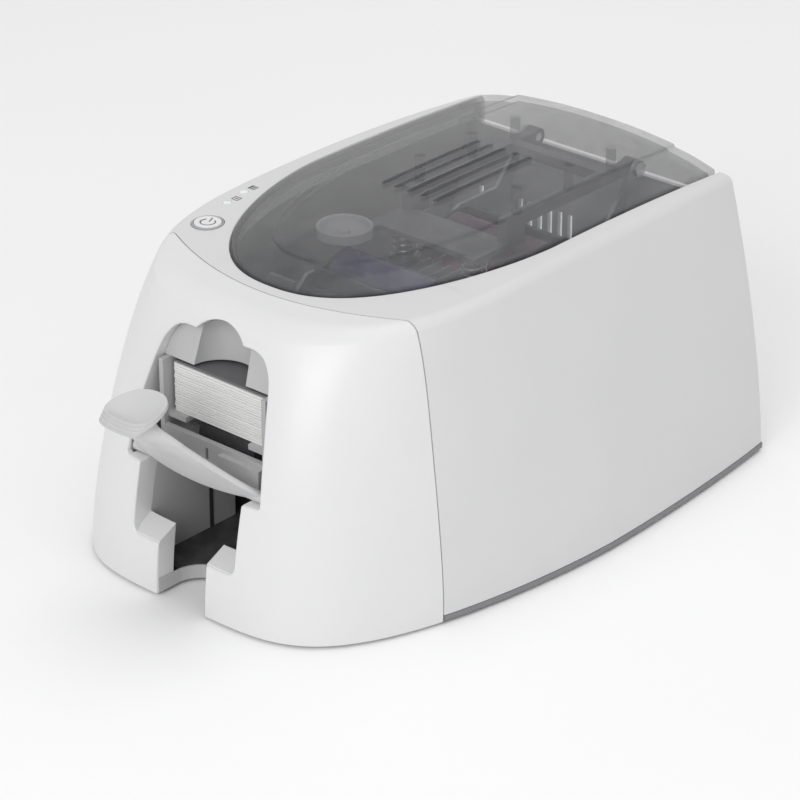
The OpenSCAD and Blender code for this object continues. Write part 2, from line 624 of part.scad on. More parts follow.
// Ribbon cassette: end plates, ties and a grip, hung between the frames
cassette_x = frame_x - 1;
module cassette_plate() rotate([90, 0, 90]) linear_extrude(1.6) polygon([[supply_y - 12, supply_z - 6],
    [supply_y + 4, supply_z - 12], [platen_y - 19, path_z + 14], [platen_y - 19, frame_top_z + 1],
    [supply_y + 6, frame_top_z + 6], [supply_y - 12, frame_top_z + 2]]);
module cassette_tail() rotate([90, 0, 90]) linear_extrude(1.6) polygon([[platen_y + 21, path_z + 12],
    [takeup_y + 12, takeup_z - 10], [takeup_y + 12, takeup_z + 8], [platen_y + 25, takeup_z + 8]]);
module cassette_frame() color([0.22, 0.22, 0.24]) difference() {
    union() {
        for (x = [-cassette_x, cassette_x - 1.6]) translate([x, 0, 0]) {
            cassette_plate();
            cassette_tail();
            slab([0, 1.6], [platen_y - 19.1, platen_y + 21.1], [path_z + 15, path_z + 20]);
        }
        slab([-cassette_x, cassette_x], [supply_y - 15, supply_y - 12.6], [supply_z - 6, frame_top_z + 2]);
        mirrored() slab([cassette_x - 1.6, cassette_x], [supply_y - 13, supply_y - 11.9],
            [supply_z - 6, frame_top_z + 2]);
        slab([-cassette_x, cassette_x], [takeup_y + 11, takeup_y + 13], [takeup_z - 8, takeup_z + 8]);
        for (y = [film_bends[0] + 0.6, film_bends[1] - 0.6]) {
            shaft(1, -cassette_x, cassette_x, y, film_z + film_t + 1.05);
            mirrored() slab([cassette_x - 1.6, cassette_x], [y - 1.5, y + 1.5], [film_z, path_z + 16]);
        }
        mirrored() for (y = [supply_y - 4, takeup_y - 2])
            slab([cassette_x - 0.1, frame_x], [y, y + 6], [takeup_z + 4.5, takeup_z + 7.5]);
    }
    shaft(2 + bearing_clear, -cassette_x - 9, cassette_x + 9, supply_y, supply_z);
    shaft(2 + bearing_clear, -cassette_x - 9, cassette_x + 9, takeup_y, takeup_z);
}

// Dye film between the two spools, led under the print head
film_t = 0.3;
film_bends = [platen_y - 14, platen_y + 15];
function film_strip(p) = concat(p, [for (k = [len(p) - 1 : -1 : 0]) [p[k][0], p[k][1] + film_t]]);
module ribbon_film() color([0.15, 0.1, 0.3]) translate([-half_card, 0, 0]) rotate([90, 0, 90])
    linear_extrude(card_w) polygon(film_strip([
        [supply_y - 3, supply_z - supply_r - 0.5], [supply_y + 2, supply_z - supply_r - 0.5],
        [film_bends[0], film_z], [film_bends[1], film_z],
        [takeup_y - 2, takeup_z - takeup_r - 0.5], [takeup_y + 2, takeup_z - takeup_r - 0.5]]));
module spool(y, z, r) {
    shaft(r, -half_card + 1, half_card - 1, y, z);
    shaft(2, -frame_x - frame_t - 0.6, frame_x + frame_t + 0.6, y, z);
    for (x = [-half_card - 0.4, half_card - 0.8]) shaft(4.5, x, x + 1.2, y, z);
    for (k = [0 : 2]) translate([half_card + 0.4, y, z]) rotate([k * 120, 0, 0])
        translate([0, 2.4, -0.6]) cube([0.9, 1.6, 1.2]);
}
module supply_spool() color([0.2, 0.15, 0.45]) spool(supply_y, supply_z, supply_r);
module takeup_spool() color([0.5, 0.2, 0.3]) spool(takeup_y, takeup_z, takeup_r);

// Small parts
module indicator_windows() color([0.8, 0.85, 0.8]) for (p = led_spots)
    translate([p[0], p[1], top_z(p[1]) - wall]) cylinder(r = led_r - 0.1, h = wall + 0.3);
foot_spots = [[50, -112], [74, 80]];
module rubber_feet() color([0.2, 0.2, 0.2]) mirrored() for (p = foot_spots)
    translate([p[0], p[1], -foot_h]) cylinder(r1 = 6.6, r2 = 7, h = foot_h);
module screws() color([0.6, 0.6, 0.62]) mirrored() for (p = boss_spots) translate([p[0], p[1], 0]) {
    translate([0, 0, -1.2]) difference() {
        cylinder(r = 2.8, h = 1.2);
        for (a = [0, 90]) rotate([0, 0, a]) translate([-1.8, -0.3, -0.1]) cube([3.6, 0.6, 0.7]);
    }
    translate([0, 0, -0.1]) cylinder(r = 1.5, h = 12);
}

// Power button in its collar
button_top = top_z(button_y) + 0.6;
collar_r = button_r + 2;
collar_h = 9;
collar_floor = 1.4;
spring_h = button_travel + 2.8;
module at_button() translate([button_x, button_y, button_top - collar_h]) children();
module button_guide() color([0.75, 0.75, 0.76]) at_button() difference() {
    cylinder(r = collar_r, h = collar_h - 0.2);
    translate([0, 0, collar_floor]) cylinder(r = button_r + 0.15, h = collar_h);
}
module power_button() color([0.93, 0.93, 0.93]) at_button() difference() {
    translate([0, 0, collar_floor + spring_h])
        cylinder(r = button_r, h = collar_h - collar_floor - spring_h + 0.2);
    translate([0, 0, collar_h + 9.4]) sphere(r = 10);
}

// Round wire wound with n turns from z0 to z1
turn_steps = 8;
function coil_point(r, n, z0, z1, k) = let (a = 360 * k / turn_steps)
    [r * cos(a), r * sin(a), mix(z0, z1, k / (n * turn_steps))];
function coil_gap(r, wire, n, z0, z1) = let (low = z0 + wire, high = z1 - wire)
    -2 * wire + min([for (k = [0 : (n - 1) * turn_steps])
        norm(coil_point(r, n, low, high, k + turn_steps) - coil_point(r, n, low, high, k))]);
module coil(r, wire, n, z0, z1, sides = 6) {
    count = n * turn_steps;
    rings = [for (k = [0 : count])
        let (a = 360 * k / turn_steps, c = coil_point(r, n, z0 + wire, z1 - wire, k))
        [for (j = [0 : sides - 1]) let (b = 360 * j / sides)
            [c[0] + wire * cos(b) * cos(a), c[1] + wire * cos(b) * sin(a), c[2] + wire * sin(b)]]];
    echo(least_gap_between_turns = coil_gap(r, wire, n, z0, z1));
    polyhedron(points = [for (r = rings) each r], faces = concat(
        [for (k = [0 : count - 1]) for (j = [0 : sides - 1])
            let (a = k * sides + j, b = k * sides + (j + 1) % sides)
            each [[a, b, b + sides], [a, b + sides, a + sides]]],
        [[for (j = [sides - 1 : -1 : 0]) j]], [[for (j = [0 : sides - 1]) count * sides + j]]));
}
module button_spring() color([0.7, 0.7, 0.72]) at_button() translate([0, 0, collar_floor])
    coil(3.4, 0.3, 3, 0, spring_h, 4);

// Two pins that carry the lid in the frames
module lid_hinge_pins() color([0.75, 0.75, 0.77]) mirrored() {
    shaft(hinge_r, frame_x - 6, frame_x + frame_t + 0.5, hinge_y, hinge_z);
    shaft(hinge_r + 1.4, frame_x + frame_t + 0.1, frame_x + frame_t + 1.3, hinge_y, hinge_z);
}

// Clear lid: an oval rim, a sloped band, a small step and a shallow dome
lid_levels = [[1, 0, -5], [1, 0, 0.8], [1, -0.8, 1.5], [0.82, 0, 0.47 * dome_rise],
    [0.665, 0, 0.66 * dome_rise], [0.635, 0, 0.78 * dome_rise], [0.46, 0, 0.93 * dome_rise],
    [0.24, 0, 1.03 * dome_rise], [0.03, 0, 1.07 * dome_rise]];
module lid_form(d, drop) {
    n = 2 * lid_n + 1;
    rings = [for (l = lid_levels) lid_ring(l[0], l[1] - d, l[2] - (l[2] < 0 ? drop : d), d)];
    polyhedron(points = [for (r = rings) each r],
        faces = concat([for (k = [0 : len(lid_levels) - 2]) each ring_faces(n, k)],
            cap_faces(n, 0, false), cap_faces(n, n * (len(lid_levels) - 1), true)));
}
arm_x = [frame_x - 6, frame_x - 0.4];
arm_top_z = hinge_z + 3;
vent_y = -14;
module lid_shell() color([0.35, 0.35, 0.37, 0.6]) {
    difference() {
        lid_form(0, 0);
        lid_form(lid_wall, 5);
        for (k = [0 : vent_count - 1]) translate([(k - (vent_count - 1) / 2) * vent_pitch, 0, body_h - 20])
            hull() for (y = [vent_y, vent_y + vent_len]) translate([0, y, 0])
                cylinder(r = vent_w / 2, h = 60, $fn = 12);
    }
    // Rear apron, and bosses that stand on the arms
    slab([-lid_half_w + 0.6, lid_half_w - 0.6], [lid_rear_y - lid_wall, lid_rear_y],
        [top_z(lid_rear_y) - 9, top_z(lid_rear_y) - 4]);
    intersection() {
        lid_form(0.3, 0);
        for (x = [-1, 1]) for (y = [24, 60, 90]) hull() {
            translate([x * (arm_x[0] + arm_x[1]) / 2, y, arm_top_z]) cylinder(r = 2.2, h = 1, $fn = 16);
            translate([x * (arm_x[0] + arm_x[1]) / 2, y, body_h + 20]) cylinder(r = 2.8, h = 1, $fn = 16);
        }
    }
}

// Arms under the lid that carry the print head
head_y = [platen_y - 9, platen_y + 9];
plate_z = frame_top_z + 9.6;
module lid_arms() color([0.5, 0.5, 0.52]) difference() {
    union() {
        mirrored() {
            shaft(hinge_eye_r, arm_x[0], arm_x[1], hinge_y, hinge_z);
            slab(arm_x, [platen_y + 16, hinge_y], [hinge_z - 2, arm_top_z]);
            slab(arm_x, [platen_y + 10, platen_y + 22], [plate_z, arm_top_z]);
            slab(arm_x, [platen_y - 13, platen_y + 22], [plate_z, plate_z + 2.4]);
        }
        slab([-arm_x[1], arm_x[1]], [platen_y - 11, platen_y + 13], [plate_z, plate_z + 2.4]);
        slab([-arm_x[1], arm_x[1]], [84, 90], [hinge_z - 2, arm_top_z]);
        slab([cup_x - 4, cup_x + 4], [cup_y, platen_y - 10], [plate_z, plate_z + 2.4]);
    }
    mirrored() shaft(hinge_r + bearing_clear, arm_x[0] - 1, arm_x[1] + 1, hinge_y, hinge_z);
}
spring_spots = [[-20, platen_y], [20, platen_y]];
head_top_z = plate_z - 14;
module print_head() color([0.25, 0.25, 0.27]) {
    slab([-half_card, half_card], head_y, [film_z + 4, head_top_z - 5]);
    slab([-half_card, half_card], [platen_y - 3, platen_y + 3], [film_z + film_t + 0.3, film_z + 4.1]);
    for (x = [-24 : 6 : 24]) slab([x - 0.7, x + 0.7], [head_y[0] + 1, head_y[1] - 1],
        [head_top_z - 5.1, head_top_z - 2]);
    for (p = spring_spots) translate([p[0], p[1], head_top_z - 5.1]) {
        cylinder(r = 7, h = 5.1);
        cylinder(r = 3.2, h = 18.9);
    }
}
module head_springs() color([0.8, 0.8, 0.82]) for (p = spring_spots) translate([p[0], p[1], 0])
    coil(5.2, 0.8, 4, head_top_z + 0.05, plate_z - 0.05);

// Cup of the head adjuster on the front of the arms
cup_x = -29.5;
cup_y = -24;
module adjuster_cup() color([0.6, 0.6, 0.62]) translate([cup_x, cup_y, plate_z + 2.4]) difference() {
    cylinder(r = 10, h = 7);
    translate([0, 0, 1.6]) cylinder(r = 8.2, h = 9);
    translate([-1, -12, 4]) cube([2, 24, 9]);
}

// Snap tongue under the front of the lid
module lid_catch() color([0.45, 0.45, 0.47]) {
    slab([-7, 7], [-lid_reach + 6, -lid_reach + 8], [body_h - 18, top_z(6 - lid_reach) + 0.55]);
    translate([-7, 0, 0]) rotate([90, 0, 90]) linear_extrude(14) polygon([[-lid_reach + 6.1, body_h - 18],
        [-lid_reach + 4, body_h - 15], [-lid_reach + 6.1, body_h - 13.6]]);
}

// Feeder flap: a bowed tongue that narrows to a dished finger tab
tongue_len = 53.5;
tongue_start = -0.2;
neck_w = 12;
tongue_steps = 16;
bow_r = 160;
bow_h = 4.9;
function tongue_w(t) = neck_w + (flap_half_w - neck_w) * pow(1 - t, 1.38) + 2.2 * sin(180 * pow(t, 3));
module tongue_plan() {
    side = [for (k = [0 : tongue_steps])
        let (t = k / tongue_steps) [tongue_w(t), mix(tongue_start, tongue_len, t)]];
    polygon(concat(side, [for (k = [tongue_steps : -1 : 0]) [-side[k][0], side[k][1]]]));
}
module feeder_flap() color([0.9, 0.9, 0.91]) {
    translate([0, flap_y, flap_z]) rotate([180 - flap_lean, 0, 0]) intersection() {
        translate([0, 0, -4]) linear_extrude(12) tongue_plan();
        translate([0, -9, bow_h - bow_r]) rotate([-90, 0, 0]) difference() {
            cylinder(r = bow_r, h = tongue_len + 20);
            translate([0, 0, -1]) cylinder(r = bow_r - flap_t, h = tongue_len + 22);
        }
    }
    translate([0, dish_y, dish_z]) rotate([dish_tilt, 0, 0]) difference() {
        for (k = [0 : 2]) translate([0, 0, -1.8 - 1.3 * k]) cylinder(r = dish_r - 0.9 * k, h = 1.8);
        translate([0, 0, 36]) sphere(r = 38, $fn = 96);
    }
    shaft(pivot_r + 0.9, -flap_half_w - 0.25, flap_half_w + 0.25, flap_y, flap_z);
    shaft(pivot_r, -mouth_half_w - 3.2, mouth_half_w + 3.2, flap_y, flap_z);
}

// Involute gear outline; a tooth points along the first axis
function involute_angle(rb, r) = let (a = acos(min(rb / max(r, rb), 1))) tan(a) * 180 / PI - a;
function flank_angle(n, r) = let (rp = gear_m * n / 2, rb = rp * cos(20))
    90 / n - 0.09 * 180 / PI / rp + involute_angle(rb, rp) - involute_angle(rb, r);
function tooth_radii(n) = let (rp = gear_m * n / 2)
    [rp - 1.2 * gear_m, rp - 0.55 * gear_m, rp, rp + 0.5 * gear_m, rp + 0.92 * gear_m];
module gear_plan(n) {
    radii = tooth_radii(n);
    last = len(radii) - 1;
    polygon([for (k = [0 : n - 1]) for (j = [0 : 2 * last + 1])
        let (i = j <= last ? j : 2 * last + 1 - j, s = j <= last ? -1 : 1,
            a = 360 * k / n + s * flank_angle(n, radii[i]))
        [radii[i] * cos(a), radii[i] * sin(a)]]);
}
module gear(n, y, z, turn, bore) translate([gear_x - gear_t, y, z]) rotate([90, 0, 90]) difference() {
    linear_extrude(gear_t) rotate(turn) gear_plan(n);
    translate([0, 0, -1]) cylinder(r = bore, h = gear_t + 2);
    if (n > 20) for (a = [30 : 60 : 330]) rotate(a) translate([gear_m * n / 4 + 1.4, 0, -1])
        cylinder(r = gear_m * n / 12, h = gear_t + 2);
}
module roller(r, y, z, right) {
    shaft(r, -half_card, half_card, y, z);
    shaft(shaft_r, gear_x - gear_t - 0.6, right, y, z);
}
module feed_shaft() color([0.75, 0.75, 0.77]) {
    shaft(shaft_r, -guide_x - 4.5, belt_x + belt_w + 2, feed_y, feed_z);
    pulley(feed_y, feed_z);
}
module feed_tyre() color([0.15, 0.15, 0.15]) difference() {
    shaft(feed_r, -ledge_in_x + 2, ledge_in_x - 2, feed_y, feed_z);
    shaft(shaft_r, -ledge_in_x, ledge_in_x, feed_y, feed_z);
}
module platen_roller() color([0.15, 0.15, 0.15]) roller(roller_r, platen_y, shaft_z, frame_x + frame_t + 0.8);
module platen_gear() color([0.85, 0.85, 0.8]) gear(platen_teeth, platen_y, shaft_z, 0, shaft_r);
module front_roller() color([0.2, 0.2, 0.2]) {
    roller(roller_r, front_roller_y, shaft_z, belt_x + belt_w + 2);
    pulley(front_roller_y, shaft_z);
}
module front_roller_gear() color([0.85, 0.85, 0.8]) gear(roller_teeth, front_roller_y, shaft_z, 0, shaft_r);
module rear_roller() color([0.2, 0.2, 0.2]) roller(roller_r, rear_roller_y, shaft_z, frame_x + frame_t + 0.8);
module rear_roller_gear() color([0.85, 0.85, 0.8]) gear(roller_teeth, rear_roller_y, shaft_z, 0, shaft_r);
module front_idler() color([0.85, 0.85, 0.8])
    gear(idler_teeth, platen_y - idler_gap, shaft_z, 180 / idler_teeth, 2.4 + bearing_clear);
module rear_idler() color([0.85, 0.85, 0.8])
    gear(idler_teeth, platen_y + idler_gap, shaft_z, 180 / idler_teeth, 2.4 + bearing_clear);
module motor_pinion() color([0.8, 0.7, 0.4]) {
    gear(pinion_teeth, platen_y, motor_z, 180 / pinion_teeth, 2);
    shaft(2.5, gear_x - gear_t, -frame_x + 11, platen_y, motor_z);
}
module cleaning_roller() color([0.3, 0.6, 0.8]) {
    shaft(cleaning_r, -half_card, half_card, front_roller_y, cleaning_z);
    shaft(2, -frame_x - frame_t - 0.6, frame_x + frame_t + 0.6, front_roller_y, cleaning_z);
}

place() base_tray();
place() main_housing();
place() front_cover();
place() rear_panel();
place() feeder_hood();
place() feeder_floor();
place() output_tray();
place() card_stack();
place() left_frame();
place() right_frame();
place() frame_bars();
place() card_gate();
place() flap_brackets();
place() drive_motor();
place() drive_belt();
place() main_board();
place() power_inlet();
place() usb_socket();
place() cassette_frame();
place() ribbon_film();
place() indicator_windows();
place() rubber_feet();
place() screws();
place() button_guide();
place() lid_hinge_pins();
place() lid_shell();
place() lid_arms();
place() print_head();
place() head_springs();
place() adjuster_cup();
place() lid_catch();
place() feeder_flap();
place() power_button();
place() button_spring();
place() feed_shaft();
place() feed_tyre();
place() platen_roller();
place() platen_gear();
place() front_roller();
place() front_roller_gear();
place() rear_roller();
place() rear_roller_gear();
place() front_idler();
place() rear_idler();
place() motor_pinion();
place() cleaning_roller();
place() supply_spool();
place() takeup_spool();
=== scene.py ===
import math

import bmesh
import bpy
import numpy as np
from mathutils import Matrix, Vector
from mathutils.bvhtree import BVHTree
from mathutils.interpolate import poly_3d_calc


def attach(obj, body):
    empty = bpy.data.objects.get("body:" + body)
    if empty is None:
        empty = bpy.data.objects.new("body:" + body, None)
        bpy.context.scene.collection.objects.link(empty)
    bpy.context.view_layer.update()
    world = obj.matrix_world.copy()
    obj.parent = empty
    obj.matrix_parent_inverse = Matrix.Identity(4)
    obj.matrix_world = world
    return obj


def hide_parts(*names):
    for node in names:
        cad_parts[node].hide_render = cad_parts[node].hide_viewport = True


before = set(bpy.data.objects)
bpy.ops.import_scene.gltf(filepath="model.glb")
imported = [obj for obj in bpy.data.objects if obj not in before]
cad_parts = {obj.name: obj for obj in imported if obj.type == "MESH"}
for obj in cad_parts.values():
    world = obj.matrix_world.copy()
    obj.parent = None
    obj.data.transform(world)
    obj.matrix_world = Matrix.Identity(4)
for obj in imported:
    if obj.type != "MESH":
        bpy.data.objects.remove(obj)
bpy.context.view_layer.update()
print("frame loaded:", len(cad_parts), "nodes")

# Everything below is drawn in millimetres in the casing's own frame:
# x to the right, y to the rear from the widest part, z up from the foot
toFrame = Matrix.Scale(0.001, 4) @ Matrix.Translation((0.0, 37.9015, 1.5))

casing = {
    "width": 211.0, "frontReach": 160.0, "rearReach": 118.0, "height": 132.0,
    "sideLean": 25.5, "leanPower": 1.46, "topReach": 127.0,
    "roundFoot": (1.55, 4.5), "roundTop": (4.2, 2.15), "taperFoot": 0.0005, "taperTop": 0.0004,
    "crownY": 20.0, "crown": 0.0003, "edgeRadius": 4.0, "shoulderRadius": 10.0,
    "sideShare": 5, "wholeShare": 17, "rearCorner": 1.6, "wall": 2.5, "bezelDepth": 10.0,
    "seamY": -90.8, "seamArc": 17.1, "seamHalfWidth": 66.6, "seamLean": 6.5, "seamGap": 0.5,
    "trayBand": 2.6,
}


def mix(a, b, k):
    return a + (b - a) * k


def topZ(y):
    return casing["height"] - casing["crown"] * (y - casing["crownY"]) ** 2


def sideWidth(h):
    return casing["width"] / 2 - casing["sideLean"] * max(h, 0.0) ** casing["leanPower"]


def frontReach(h):
    rise = max(1 - max(h, 0.0) ** 1.65, 0.0) ** 0.93
    return casing["topReach"] + (casing["frontReach"] - casing["topReach"]) * rise


def roundness(h):
    return [mix(a, b, max(h, 0.0) ** 4) for a, b in zip(casing["roundFoot"], casing["roundTop"])]


def halfOutline(h, i, inset):
    # right half of one level, from the rear corner (i = 0) to the nose (i = 17)
    side = casing["sideShare"]
    if i <= side:
        y = (casing["rearReach"] - inset) * (1 - i / side)
        taper = mix(casing["taperFoot"], casing["taperTop"], h)
        return sideWidth(h) - inset - taper * y * y, y
    t = math.radians(90 * (i - side) / (casing["wholeShare"] - side))
    power = roundness(h)
    return ((sideWidth(h) - inset) * max(math.cos(t), 0.0) ** (2 / power[1]),
            -(frontReach(h) - inset) * math.sin(t) ** (2 / power[0]))


def edgeRadius(i):
    k = i / casing["wholeShare"]
    if k < 0.35:
        return casing["edgeRadius"]
    return mix(casing["edgeRadius"], casing["shoulderRadius"], ((k - 0.35) / 0.65) ** 2)


def skinPoint(h, tilt, inset, i):
    r = edgeRadius(i)
    g = h * (1 - r * (1 - math.sin(tilt)) / casing["height"])
    x, y = halfOutline(g, i, inset + r * (1 - math.cos(tilt)))
    z = g * (casing["height"] - inset) - casing["crown"] * (y - casing["crownY"]) ** 2 * g ** 5
    return x, y, z


def skinRing(h, tilt, inset, steps):
    right = [skinPoint(h, tilt, inset, i) for i in steps]
    if tilt > math.radians(89):
        # the flat top's rim never turns back at the nose
        for k in range(1, len(right)):
            x, y, z = right[k]
            right[k] = (x, min(y, right[k - 1][1] - 0.003), z)
    x0, y0, z0 = right[0]
    c = casing["rearCorner"]
    corner = []
    for a in (90, 67.5, 45, 22.5):
        corner.append((x0 - c + c * math.cos(math.radians(a)), y0 - c + c * math.sin(math.radians(a)), z0))
    right = corner + [p for p in right if p[1] < y0 - c]
    return right + [(-p[0], p[1], p[2]) for p in reversed(right[:-1])]


def frontSurface(x, z):
    # y of the casing's front at a place seen from the front
    h = min(max(z / casing["height"], 0.0), 1.0)
    for _ in range(6):
        power = roundness(h)
        across = min(abs(x) / sideWidth(h), 1.0)
        y = -frontReach(h) * max(1 - across ** power[1], 0.0) ** (1 / power[0])
        h = min((z + casing["crown"] * (y - casing["crownY"]) ** 2 * h ** 5) / casing["height"], 1.0)
    return y


def solidFrom(name, verts, faces):
    mesh = bpy.data.meshes.new(name)
    mesh.from_pydata([tuple(v) for v in verts], [], faces)
    work = bmesh.new()
    work.from_mesh(mesh)
    bmesh.ops.remove_doubles(work, verts=work.verts, dist=1e-5)
    bmesh.ops.recalc_face_normals(work, faces=work.faces)
    work.to_mesh(mesh)
    work.free()
    obj = bpy.data.objects.new(name, mesh)
    bpy.context.scene.collection.objects.link(obj)
    return obj


def loftFaces(count, levels):
    return [(k * count + j, k * count + (j + 1) % count, (k + 1) * count + (j + 1) % count, (k + 1) * count + j)
            for k in range(levels - 1) for j in range(count)]


def stripCap(count, base):
    # joins the left and the right half of a ring of odd count straight across
    faces = []
    for j in range((count - 1) // 2):
        a, b, c, d = base + j, base + j + 1, base + count - 2 - j, base + count - 1 - j
        faces.append((a, b, d) if b == c else (a, b, c, d))
    return faces


def ringLoft(name, rings):
    # closed solid of stacked rings with a flat cap at each end
    n = len(rings[0])
    last = n * (len(rings) - 1)
    faces = loftFaces(n, len(rings)) + [tuple(range(n)), tuple(range(last, last + n))]
    return solidFrom(name, [p for ring in rings for p in ring], faces)


def mirroredLoft(name, rings):
    # closed solid of stacked rings whose halves mirror each other
    n = len(rings[0])
    faces = loftFaces(n, len(rings)) + stripCap(n, 0) + stripCap(n, n * (len(rings) - 1))
    return solidFrom(name, [p for ring in rings for p in ring], faces)


def prism(name, outline, low, high, layOut=lambda u, v, w: (u, v, w)):
    # straight solid from a flat outline; layOut turns (u, v, w) into x, y, z
    return ringLoft(name, [[layOut(u, v, w) for u, v in outline] for w in (low, high)])


def upright(u, v, w):
    # lays an outline of x and z out along y
    return u, w, v


def sideways(u, v, w):
    # lays an outline of y and z out along x
    return w, u, v


def circle(centre, radius, steps):
    return [(centre[0] + radius * math.cos(2 * math.pi * k / steps),
             centre[1] + radius * math.sin(2 * math.pi * k / steps)) for k in range(steps)]


def turned(name, centre, profile, steps=64):
    # lathe body from (radius, z) points, closed at both ends
    return ringLoft(name, [[(x, y, z) for x, y in circle(centre, radius, steps)] for radius, z in profile])


def cylinder(name, centre, low, high, radius, topRadius=None, steps=40):
    return turned(name, centre, ((radius, low), (radius if topRadius is None else topRadius, high)), steps)


def slab(name, x, y, z):
    return prism(name, [(x[0], y[0]), (x[1], y[0]), (x[1], y[1]), (x[0], y[1])], z[0], z[1])


def finishMesh(obj):
    mesh = bpy.data.meshes.new_from_object(obj.evaluated_get(bpy.context.evaluated_depsgraph_get()))
    obj.modifiers.clear()
    old = obj.data
    obj.data = mesh
    bpy.data.meshes.remove(old)
    return obj


def carve(obj, *steps):
    # boolean steps in order: ("cut" | "join" | "keep", tool)
    kinds = {"cut": "DIFFERENCE", "join": "UNION", "keep": "INTERSECT"}
    for kind, tool in steps:
        m = obj.modifiers.new(kind, "BOOLEAN")
        m.operation = kinds[kind]
        m.solver = "MANIFOLD"
        m.object = tool
    finishMesh(obj)
    for _, tool in steps:
        if tool.name in bpy.data.objects:
            bpy.data.objects.remove(tool)
    return obj


class SmoothSkin:
    # normals of a fine skin, to shade a carved piece as smoothly as the form that it was cut from
    def __init__(self, rings, sign):
        n = len(rings[0])
        self.points = np.array([p for r in rings for p in r], float)
        faces = [t for a, b, c, d in loftFaces(n, len(rings)) for t in ((a, b, c), (a, c, d))]
        for f in stripCap(n, n * (len(rings) - 1)):
            faces += [(f[0], f[1], f[2])] + ([(f[0], f[2], f[3])] if len(f) == 4 else [])
        self.faces = faces
        tri = self.points[np.array(faces)]
        facing = np.cross(tri[:, 1] - tri[:, 0], tri[:, 2] - tri[:, 0])
        total = np.zeros_like(self.points)
        for k in range(3):
            np.add.at(total, np.array(faces)[:, k], facing)
        outward = total * (self.points - self.points.mean(0))
        flip = 1.0 if outward.sum() > 0 else -1.0
        self.normals = sign * flip * total / np.maximum(np.linalg.norm(total, axis=1, keepdims=True), 1e-12)
        self.tree = BVHTree.FromPolygons([tuple(p) for p in self.points], faces)

    def at(self, point):
        place, _, index, distance = self.tree.find_nearest(point)
        if place is None:
            return None, 1e9
        corners = self.faces[index]
        share = [max(w, 0.0) + 1e-6 for w in poly_3d_calc([Vector(self.points[c]) for c in corners], place)]
        normal = sum((Vector(self.normals[c]) * w for c, w in zip(corners, share)), Vector())
        return normal.normalized(), distance


def shadeByAngle(obj, angle=32.0):
    mesh = obj.data
    mesh.polygons.foreach_set("use_smooth", [True] * len(mesh.polygons))
    mesh.set_sharp_from_angle(angle=math.radians(angle))


def shadeBySkins(obj, skins, reach=0.06, angle=32.0):
    shadeByAngle(obj, angle)
    mesh = obj.data
    normals = [Vector(n.vector) for n in mesh.corner_normals]
    for poly in mesh.polygons:
        for skin in skins:
            normal, distance = skin.at(poly.center)
            corners = [mesh.vertices[v].co for v in poly.vertices]
            longest = max((a - b).length for a, b in zip(corners, corners[1:] + corners[:1]))
            sliver = poly.area < 0.02 * longest * longest
            if distance > reach * 4 or (normal.dot(poly.normal) < 0.75 and not sliver):
                continue
            found = [skin.at(mesh.vertices[mesh.loops[c].vertex_index].co) for c in poly.loop_indices]
            if max(d for _, d in found) > reach:
                continue
            for c, (n, _) in zip(poly.loop_indices, found):
                normals[c] = n
            break
    mesh.normals_split_custom_set(normals)


def place(obj, body, slotName, material, replaced=()):
    obj.data.transform(toFrame)
    obj.data.materials.clear()
    obj.data.materials.append(material)
    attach(obj, body)
    if replaced:
        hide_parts(*replaced)
    return obj


def joined(name, objs):
    # one object of several loose closed solids
    work = bmesh.new()
    for o in objs:
        work.from_mesh(o.data)
        bpy.data.objects.remove(o)
    mesh = bpy.data.meshes.new(name)
    work.to_mesh(mesh)
    work.free()
    obj = bpy.data.objects.new(name, mesh)
    bpy.context.scene.collection.objects.link(obj)
    return obj


class Tree:
    # short way to place and wire shader nodes
    def __init__(self, tree):
        self.tree = tree

    def wire(self, node, inputs):
        for key, value in inputs.items():
            if isinstance(value, bpy.types.NodeSocket):
                self.tree.links.new(value, node.inputs[key])
            else:
                node.inputs[key].default_value = value
        return node

    def node(self, kind, inputs=None, **settings):
        n = self.tree.nodes.new("ShaderNode" + kind)
        for key, value in settings.items():
            setattr(n, key, value)
        return self.wire(n, inputs or {})

    def math(self, operation, a, b=0.5, clamp=False):
        return self.node("Math", {0: a, 1: b}, operation=operation, use_clamp=clamp).outputs[0]

    def blend(self, share, a, b, kind="MIX"):
        return self.node("Mix", {0: share, 6: a, 7: b}, data_type="RGBA", blend_type=kind).outputs[2]

    def spread(self, value, low, high, outLow=0.0, outHigh=1.0):
        return self.node("MapRange", {0: value, 1: low, 2: high, 3: outLow, 4: outHigh}).outputs[0]

    def where(self):
        return self.node("TexCoord").outputs["Object"]

    def noise(self, where, scale, detail=2.0, rough=0.5):
        return self.node("TexNoise", {"Vector": where, "Scale": scale, "Detail": detail,
                                      "Roughness": rough}).outputs["Fac"]

    def cells(self, where, scale):
        return self.node("TexVoronoi", {"Vector": where, "Scale": scale}).outputs["Distance"]

    def stretched(self, where, by):
        return self.node("VectorMath", {0: where, 1: by}, operation="MULTIPLY").outputs[0]

    def normal(self):
        return self.node("NewGeometry").outputs["Normal"]

    def part(self, vector, index):
        return self.node("SeparateXYZ", {0: vector}).outputs[index]

    def rounded(self, radius):
        return self.node("Bevel", {"Radius": radius}, samples=3).outputs[0]

    def bump(self, strength, distance, height, normal=None):
        inputs = {"Strength": strength, "Distance": distance, "Height": height}
        if normal is not None:
            inputs["Normal"] = normal
        return self.node("Bump", inputs).outputs[0]

    def group(self, key, inputs):
        n = self.node("Group", node_tree=groups[key])
        return self.wire(n, inputs).outputs


